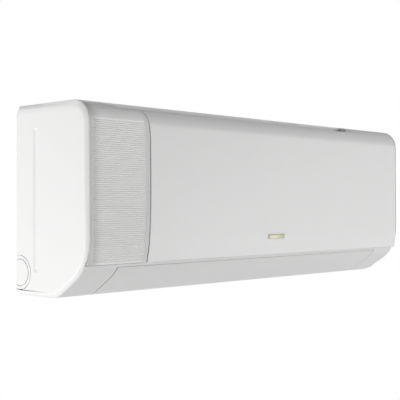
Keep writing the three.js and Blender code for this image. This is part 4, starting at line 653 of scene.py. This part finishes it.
# %% [markdown]
# ## Louver
# The flap runs between two fixed corners of the chin, and a clear joint line shows at each
# end, wider than the solid's running gap. The copy's end faces are picked by their place along
# the flap and slid in by a little over a millimetre.

# %% Louver with its joint lines
LOUVER_END, LOUVER_JOINT, LOUVER_REACH = 363.4, 1.2, 0.1
louver = merged_copy("louver_moulding", "louver")
for direction in (-1, 1):
    moved = slide_points(
        louver, lambda co: abs(co.x / MM - direction * LOUVER_END) < LOUVER_REACH,
        -direction * LOUVER_JOINT,
    )
    print("louver end points moved:", moved)
smooth_faces(louver)
finish_piece(louver, "louver_body", "white_plastic", "louver")

# %% [markdown]
# ## Front panel
# Three things set the big panel off. Its left edge, along the seam, is rolled over by almost a
# millimetre, and this roll is the bright line beside the dark gap. A joint line shows at its
# right end, so the end face is slid in there. And the floor of the intake notch has a low lip,
# which leaves less of the shadow behind it in sight. The lip is a cube drawn into a strip along
# the brow and joined on. A second one rises close to the panel's top as a ramp at the notch's
# right end, and a third closes most of the panel's hollow there, which would show as a black
# spot. The seam's edges are picked by their distance from the seam's curve and bevelled.

# %% Panel copy with a lip in its notch
NOTCH_FLOOR, LIP_RISE, LIP_ROOT = 136.6, 3.2, 1.0
NOTCH_RIGHT, NOTCH_FLARE = 272.0, 8.0
LIP_OUTER, LIP_INNER = 33.9, 31.6
RAMP_START, RAMP_END, RAMP_TOP, RAMP_SINK = 254.0, 276.0, 147.0, 0.1
WALL_START, WALL_END, WALL_DEPTH = 265.2, 275.8, 141.8


def brow_point(radius, height):
    return -(BROW_CENTRE + math.sqrt(radius**2 - (height - BROW_FOOT) ** 2)) * MM


def join_brow_strip(name, left, right, left_top, right_top, back_depth=None):
    bpy.ops.object.select_all(action="DESELECT")
    bpy.ops.mesh.primitive_cube_add(size=2, location=(0, 0, 0))
    strip = bpy.context.object
    for vertex in strip.data.vertices:
        x, height = (left, left_top) if vertex.co.x < 0 else (right, right_top)
        if vertex.co.z < 0:
            height = NOTCH_FLOOR - LIP_ROOT
        at_back = vertex.co.y > 0
        y = brow_point(LIP_INNER if at_back else LIP_OUTER, height)
        if at_back and back_depth:
            y = -back_depth * MM
        vertex.co = Vector((x * MM, y, height * MM))
    apply_modifier(panel, name, "BOOLEAN", operation="UNION", object=strip, solver="EXACT")
    bpy.data.objects.remove(strip)


panel = merged_copy("panel_moulding", "front_panel")
lip_top = NOTCH_FLOOR + LIP_RISE
lip_left = INSERT_RIGHT + SEAM_WIDTH - seam_bow(lip_top)
join_brow_strip("lip", lip_left, NOTCH_RIGHT + NOTCH_FLARE, lip_top, lip_top)
join_brow_strip("ramp", RAMP_START, RAMP_END, lip_top - RAMP_SINK, RAMP_TOP)
join_brow_strip("end wall", WALL_START, WALL_END, RAMP_TOP, RAMP_TOP, WALL_DEPTH)
print("panel with lip, faces:", len(panel.data.polygons))

# %% Open the joint at the panel's right end
PANEL_END, END_JOINT, END_REACH = 428.6, 1.3, 0.05
moved = slide_points(panel, lambda co: abs(co.x / MM - PANEL_END) < END_REACH, -END_JOINT)
print("panel end points moved:", moved)

# %% Roll the panel's edge along the seam
SEAM_ROLL, SEAM_ROLL_STEPS = 0.8, 3
SEAM_REACH, FACE_REACH, NOTCH_CLEARANCE = 0.5, 0.4, 4.0


def on_seam(co):
    height = co.z / MM
    aside = abs(co.x / MM - (INSERT_RIGHT + SEAM_WIDTH - seam_bow(height)))
    behind = abs(-co.y / MM - front_depth(height))
    return aside < SEAM_REACH and behind < FACE_REACH and height < NOTCH_FLOOR - NOTCH_CLEARANCE


picked = select_points(panel, on_seam)
bpy.ops.object.mode_set(mode="EDIT")
bpy.ops.mesh.bevel(
    offset=SEAM_ROLL * MM, segments=SEAM_ROLL_STEPS, affect="EDGES", clamp_overlap=False
)
bpy.ops.object.mode_set(mode="OBJECT")
smooth_faces(panel)
print("seam points:", picked)
finish_piece(panel, "front_panel_body", "white_plastic", "front_panel")

# %% [markdown]
# ## Ribbed insert
# The strip at the near end of the front is a moulding of its own, with a field of fine level
# ribs, 3.2 mm apart, that lies lower than the front. At the right a narrow margin slopes up to
# the bowed seam. At the left the strip falls away gently towards the end cap, whose rim stands
# over it. Modelling each rib as a bar would leave 67 pieces to join, so the strip starts as a
# grid, extruded to a slab, with six rows of faces to a rib. Each point of the slab is then
# pressed to the front's own line, less the dish, the fall, the rolled edge and the rib, and its
# back follows the same line deeper in. Only its left wall runs deeper still towards the foot,
# to close the view behind it where the end cap curves away.

# %% Rows and columns of the insert
INSERT_LEFT, INSERT_WALL = -428.6, 5.3
INSERT_DISH = 2.6
MARGINS = {"left": 8.0, "right": 5.5}
EDGE_ROLLS = {"left": 0.4, "right": 1.0}
FALL_DEPTH, FALL_WIDTH = 1.6, 18.0
FOOT_ROLL, FOOT_FLAT = 0.7, 2.0
SKIRT_DEPTH, SKIRT_TOP = 12.0, -25.0
RIB_PITCH, RIB_DEPTH, ROWS_PER_RIB = 3.23, 1.15, 6
RIB_LOW, RIB_HIGH = -94.0, 123.0
BROW_ROWS, MARGIN_COLUMNS = 16, 4
FIELD_OFFSETS = (0.8, 1.6, 4.0, 7.0, 10.0)

roll_shares = (0.0, 0.15, 0.45, 1.0)
foot_rows = [FOOT_ROLL * s for s in roll_shares] + [FOOT_FLAT]
rib_start = RIB_LOW - PANEL_FOOT
rib_count = int((RIB_HIGH - RIB_LOW) / RIB_PITCH)
rib_rows = [
    rib_start + RIB_PITCH * k / ROWS_PER_RIB for k in range(rib_count * ROWS_PER_RIB + 1)
]
line_end = BROW_FOOT - PANEL_FOOT + BROW_RADIUS * math.acos(
    (HINGE_DEPTH - BROW_CENTRE) / BROW_RADIUS
)
brow_rows = [
    rib_rows[-1] + (line_end - rib_rows[-1]) * k / BROW_ROWS for k in range(1, BROW_ROWS + 1)
]
row_steps = foot_rows + rib_rows + brow_rows


def half_columns(side):
    roll, margin = EDGE_ROLLS[side], MARGINS[side]
    across = [roll * s for s in roll_shares]
    across += [
        roll + (margin - roll) * k / MARGIN_COLUMNS for k in range(1, MARGIN_COLUMNS + 1)
    ]
    across += [margin + offset for offset in FIELD_OFFSETS]
    return [(side, a) for a in across]


columns = half_columns("left") + half_columns("right")[::-1]
print("ribs:", rib_count, "rows:", len(row_steps), "columns:", len(columns))

# %% Press the insert from a slab
SLAB_THICKNESS, SLAB_MIDDLE = 1, 0.5
bpy.ops.object.select_all(action="DESELECT")
bpy.ops.mesh.primitive_grid_add(
    x_subdivisions=len(columns) - 1, y_subdivisions=len(row_steps) - 1, size=2, location=(0, 0, 0)
)
insert = bpy.context.object
insert.name = "ribbed_insert"
bpy.ops.object.mode_set(mode="EDIT")
bpy.ops.mesh.select_all(action="SELECT")
bpy.ops.mesh.extrude_region_move(TRANSFORM_OT_translate={"value": (0, 0, SLAB_THICKNESS)})
bpy.ops.object.mode_set(mode="OBJECT")


def roll_sink(distance, radius):
    left = max(radius - distance, 0.0)
    return radius - math.sqrt(radius**2 - left**2)


def press(co):
    side, across = columns[round((co.x + 1) / 2 * (len(columns) - 1))]
    step = row_steps[round((co.y + 1) / 2 * (len(row_steps) - 1))]
    depth, height, out_depth, out_height = front_line(step)
    x = INSERT_LEFT + across if side == "left" else INSERT_RIGHT - seam_bow(height) - across
    roll, margin = EDGE_ROLLS[side], MARGINS[side]
    sink = INSERT_WALL
    if side == "left" and across <= roll:
        sink += SKIRT_DEPTH * max(SKIRT_TOP - height, 0.0) / (SKIRT_TOP - PANEL_FOOT)
    if co.z > SLAB_MIDDLE:
        if side == "left":
            sink = INSERT_DISH + FALL_DEPTH * max(1 - across / FALL_WIDTH, 0.0) ** 2
        else:
            sink = INSERT_DISH * min(max((across - roll) / (margin - roll), 0.0), 1.0)
        sink += max(roll_sink(across, roll), roll_sink(step, FOOT_ROLL))
        if rib_rows[0] <= step <= rib_rows[-1] and across > margin:
            sink += RIB_DEPTH * (1 - math.cos(2 * math.pi * (step - rib_start) / RIB_PITCH)) / 2
    return Vector((x, -(depth - sink * out_depth), height - sink * out_height)) * MM


for vertex in insert.data.vertices:
    vertex.co = press(vertex.co)
choose(insert)
bpy.ops.object.mode_set(mode="EDIT")
bpy.ops.mesh.select_all(action="SELECT")
bpy.ops.mesh.normals_make_consistent(inside=False)
bpy.ops.object.mode_set(mode="OBJECT")
print("insert faces:", len(insert.data.polygons))

# %% Cut the notch through the insert
CUT_TOP = 155.0
RIB_ANGLE = math.radians(50)
notch_plan = [
    (-355.0, 130.0), (-355.0, 142.0), (-363.0, 160.6),
    (-371.0, 174.0), (-280.0, 174.0), (-280.0, 130.0),
]
bpy.ops.object.select_all(action="DESELECT")
bpy.ops.mesh.primitive_circle_add(
    vertices=len(notch_plan), radius=1, fill_type="NGON", location=(0, 0, 0)
)
cutter = bpy.context.object
for vertex, (x, depth) in zip(cutter.data.vertices, notch_plan):
    vertex.co = Vector((x, -depth, lip_top)) * MM
bpy.ops.object.mode_set(mode="EDIT")
bpy.ops.mesh.select_all(action="SELECT")
bpy.ops.mesh.extrude_region_move(
    TRANSFORM_OT_translate={"value": (0, 0, (CUT_TOP - lip_top) * MM)}
)
bpy.ops.mesh.select_all(action="SELECT")
bpy.ops.mesh.normals_make_consistent(inside=False)
bpy.ops.object.mode_set(mode="OBJECT")
apply_modifier(insert, "notch", "BOOLEAN", operation="DIFFERENCE", object=cutter, solver="EXACT")
bpy.data.objects.remove(cutter)
bpy.ops.object.shade_smooth_by_angle(angle=RIB_ANGLE)
finish_piece(insert, "front_panel_body", "ribbed_plastic", "ribbed_panel")

# %% [markdown]
# ## Champagne bar
# Low on the panel sits a thin plated bar, 45 mm long. It is one small block whose edges are
# rounded, so a cube of its size and a bevel of three segments give it directly.

# %% Model the bar
BAR_EDGE, BAR_EDGE_STEPS = 0.35, 3
bar_low, bar_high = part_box("badge_bar")
bpy.ops.object.select_all(action="DESELECT")
bpy.ops.mesh.primitive_cube_add(
    size=1,
    location=[(a + b) / 2 for a, b in zip(bar_low, bar_high)],
    scale=[b - a for a, b in zip(bar_low, bar_high)],
)
bar = bpy.context.object
bar.name = "champagne_strip"
bpy.ops.object.transform_apply(location=True, rotation=True, scale=True)
apply_modifier(bar, "rounded edge", "BEVEL", width=BAR_EDGE * MM, segments=BAR_EDGE_STEPS)
bpy.ops.object.shade_smooth_by_angle(angle=CURVE_ANGLE)
finish_piece(bar, "front_panel_body", "champagne_bar", "badge_bar")

# %% [markdown]
# ## Studio
# The portrait has a plain white ground and soft light. More light on the unit would clip its
# white skin, so the ground is made white for the eye alone: Light Path tells the rays that see
# it, straight, in a gloss or through glass, from those that light the unit.

# %% Floor
FLOOR_LEVEL, FLOOR_SIZE, FLOOR_TONE = -1.9, 16, (0.8, 0.8, 0.8, 1)


def seen_directly(tree):
    path = new_node(tree, "ShaderNodeLightPath", (-600, 200)).outputs
    seen = math_node(tree, "ADD", path["Is Camera Ray"], path["Is Glossy Ray"])
    seen = math_node(tree, "ADD", seen, path["Is Transmission Ray"])
    return math_node(tree, "MINIMUM", seen, 1.0)


bpy.ops.object.select_all(action="DESELECT")
bpy.ops.mesh.primitive_plane_add(size=FLOOR_SIZE, location=(0, 0, FLOOR_LEVEL))
floor = bpy.context.object
floor.name = "floor"
floor_material, tree, shader = new_material("pale_floor", roughness=0.9)
shader.inputs["Base Color"].default_value = FLOOR_TONE
pale = new_node(tree, "ShaderNodeEmission", (-200, -200))
blend = new_node(tree, "ShaderNodeMixShader", (200, 0))
tree.links.new(seen_directly(tree), blend.inputs[0])
tree.links.new(shader.outputs[0], blend.inputs[1])
tree.links.new(pale.outputs[0], blend.inputs[2])
tree.links.new(blend.outputs[0], tree.nodes["Material Output"].inputs["Surface"])
floor.data.materials.append(floor_material)
print("floor at", FLOOR_LEVEL)

# %% World
AMBIENT_GLOW = 0.13
world = bpy.data.worlds.new("studio")
bpy.context.scene.world = world
world.use_nodes = True
tree = world.node_tree
backdrop = tree.nodes["Background"]
backdrop.inputs["Strength"].default_value = 1.0
backdrop.inputs["Color"].default_value = (1, 1, 1, 1)
ambient = new_node(tree, "ShaderNodeBackground", (0, -200))
ambient.inputs["Color"].default_value = (AMBIENT_GLOW, AMBIENT_GLOW, AMBIENT_GLOW, 1)
choice = new_node(tree, "ShaderNodeMixShader", (200, 0))
tree.links.new(seen_directly(tree), choice.inputs[0])
tree.links.new(ambient.outputs[0], choice.inputs[1])
tree.links.new(backdrop.outputs[0], choice.inputs[2])
tree.links.new(choice.outputs[0], tree.nodes["World Output"].inputs["Surface"])
print("ambient glow:", AMBIENT_GLOW)

# %% [markdown]
# ## Lamps
# The near end is the brightest side and grows brighter towards its foot, so its lamp stands low
# at the left and rather near, with a weak one further back. The front grows a little brighter to
# the right, and its left edge is dull, so its main lamp stands at the right. A weaker one at the
# left of the front lights the seam's rolled edge. The last stands behind the wall's plane, for
# the back and the top. All are wide, which keeps the shadows soft.

# %% Place the lamps


def area_lamp(name, place, aim, size, power):
    data = bpy.data.lights.new(name, "AREA")
    data.shape = "RECTANGLE"
    data.size, data.size_y = size
    data.energy = power
    lamp = bpy.data.objects.new(name, data)
    bpy.context.scene.collection.objects.link(lamp)
    lamp.location = place
    lamp.rotation_euler = (Vector(aim) - Vector(place)).to_track_quat("-Z", "Y").to_euler()
    return lamp


UNIT_MIDDLE, NEAR_END = (0, 0, 0), (-0.4, 0, 0)
area_lamp("left_lamp", (-2.2, 0.6, -0.7), NEAR_END, size=(1.6, 1.2), power=31)
area_lamp("left_back_lamp", (-2.6, 1.1, -0.5), UNIT_MIDDLE, size=(2.0, 1.6), power=5)
area_lamp("front_lamp", (-2.9, -1.9, 0.0), UNIT_MIDDLE, size=(1.4, 1.6), power=25)
area_lamp("right_lamp", (2.4, -2.8, -0.4), UNIT_MIDDLE, size=(2.0, 1.8), power=66)
area_lamp("back_lamp", (-0.6, 3.2, 0.6), UNIT_MIDDLE, size=(2.4, 1.6), power=20)

bpy.context.scene.view_settings.view_transform = "Standard"
print("lamps:", len(bpy.data.lights))
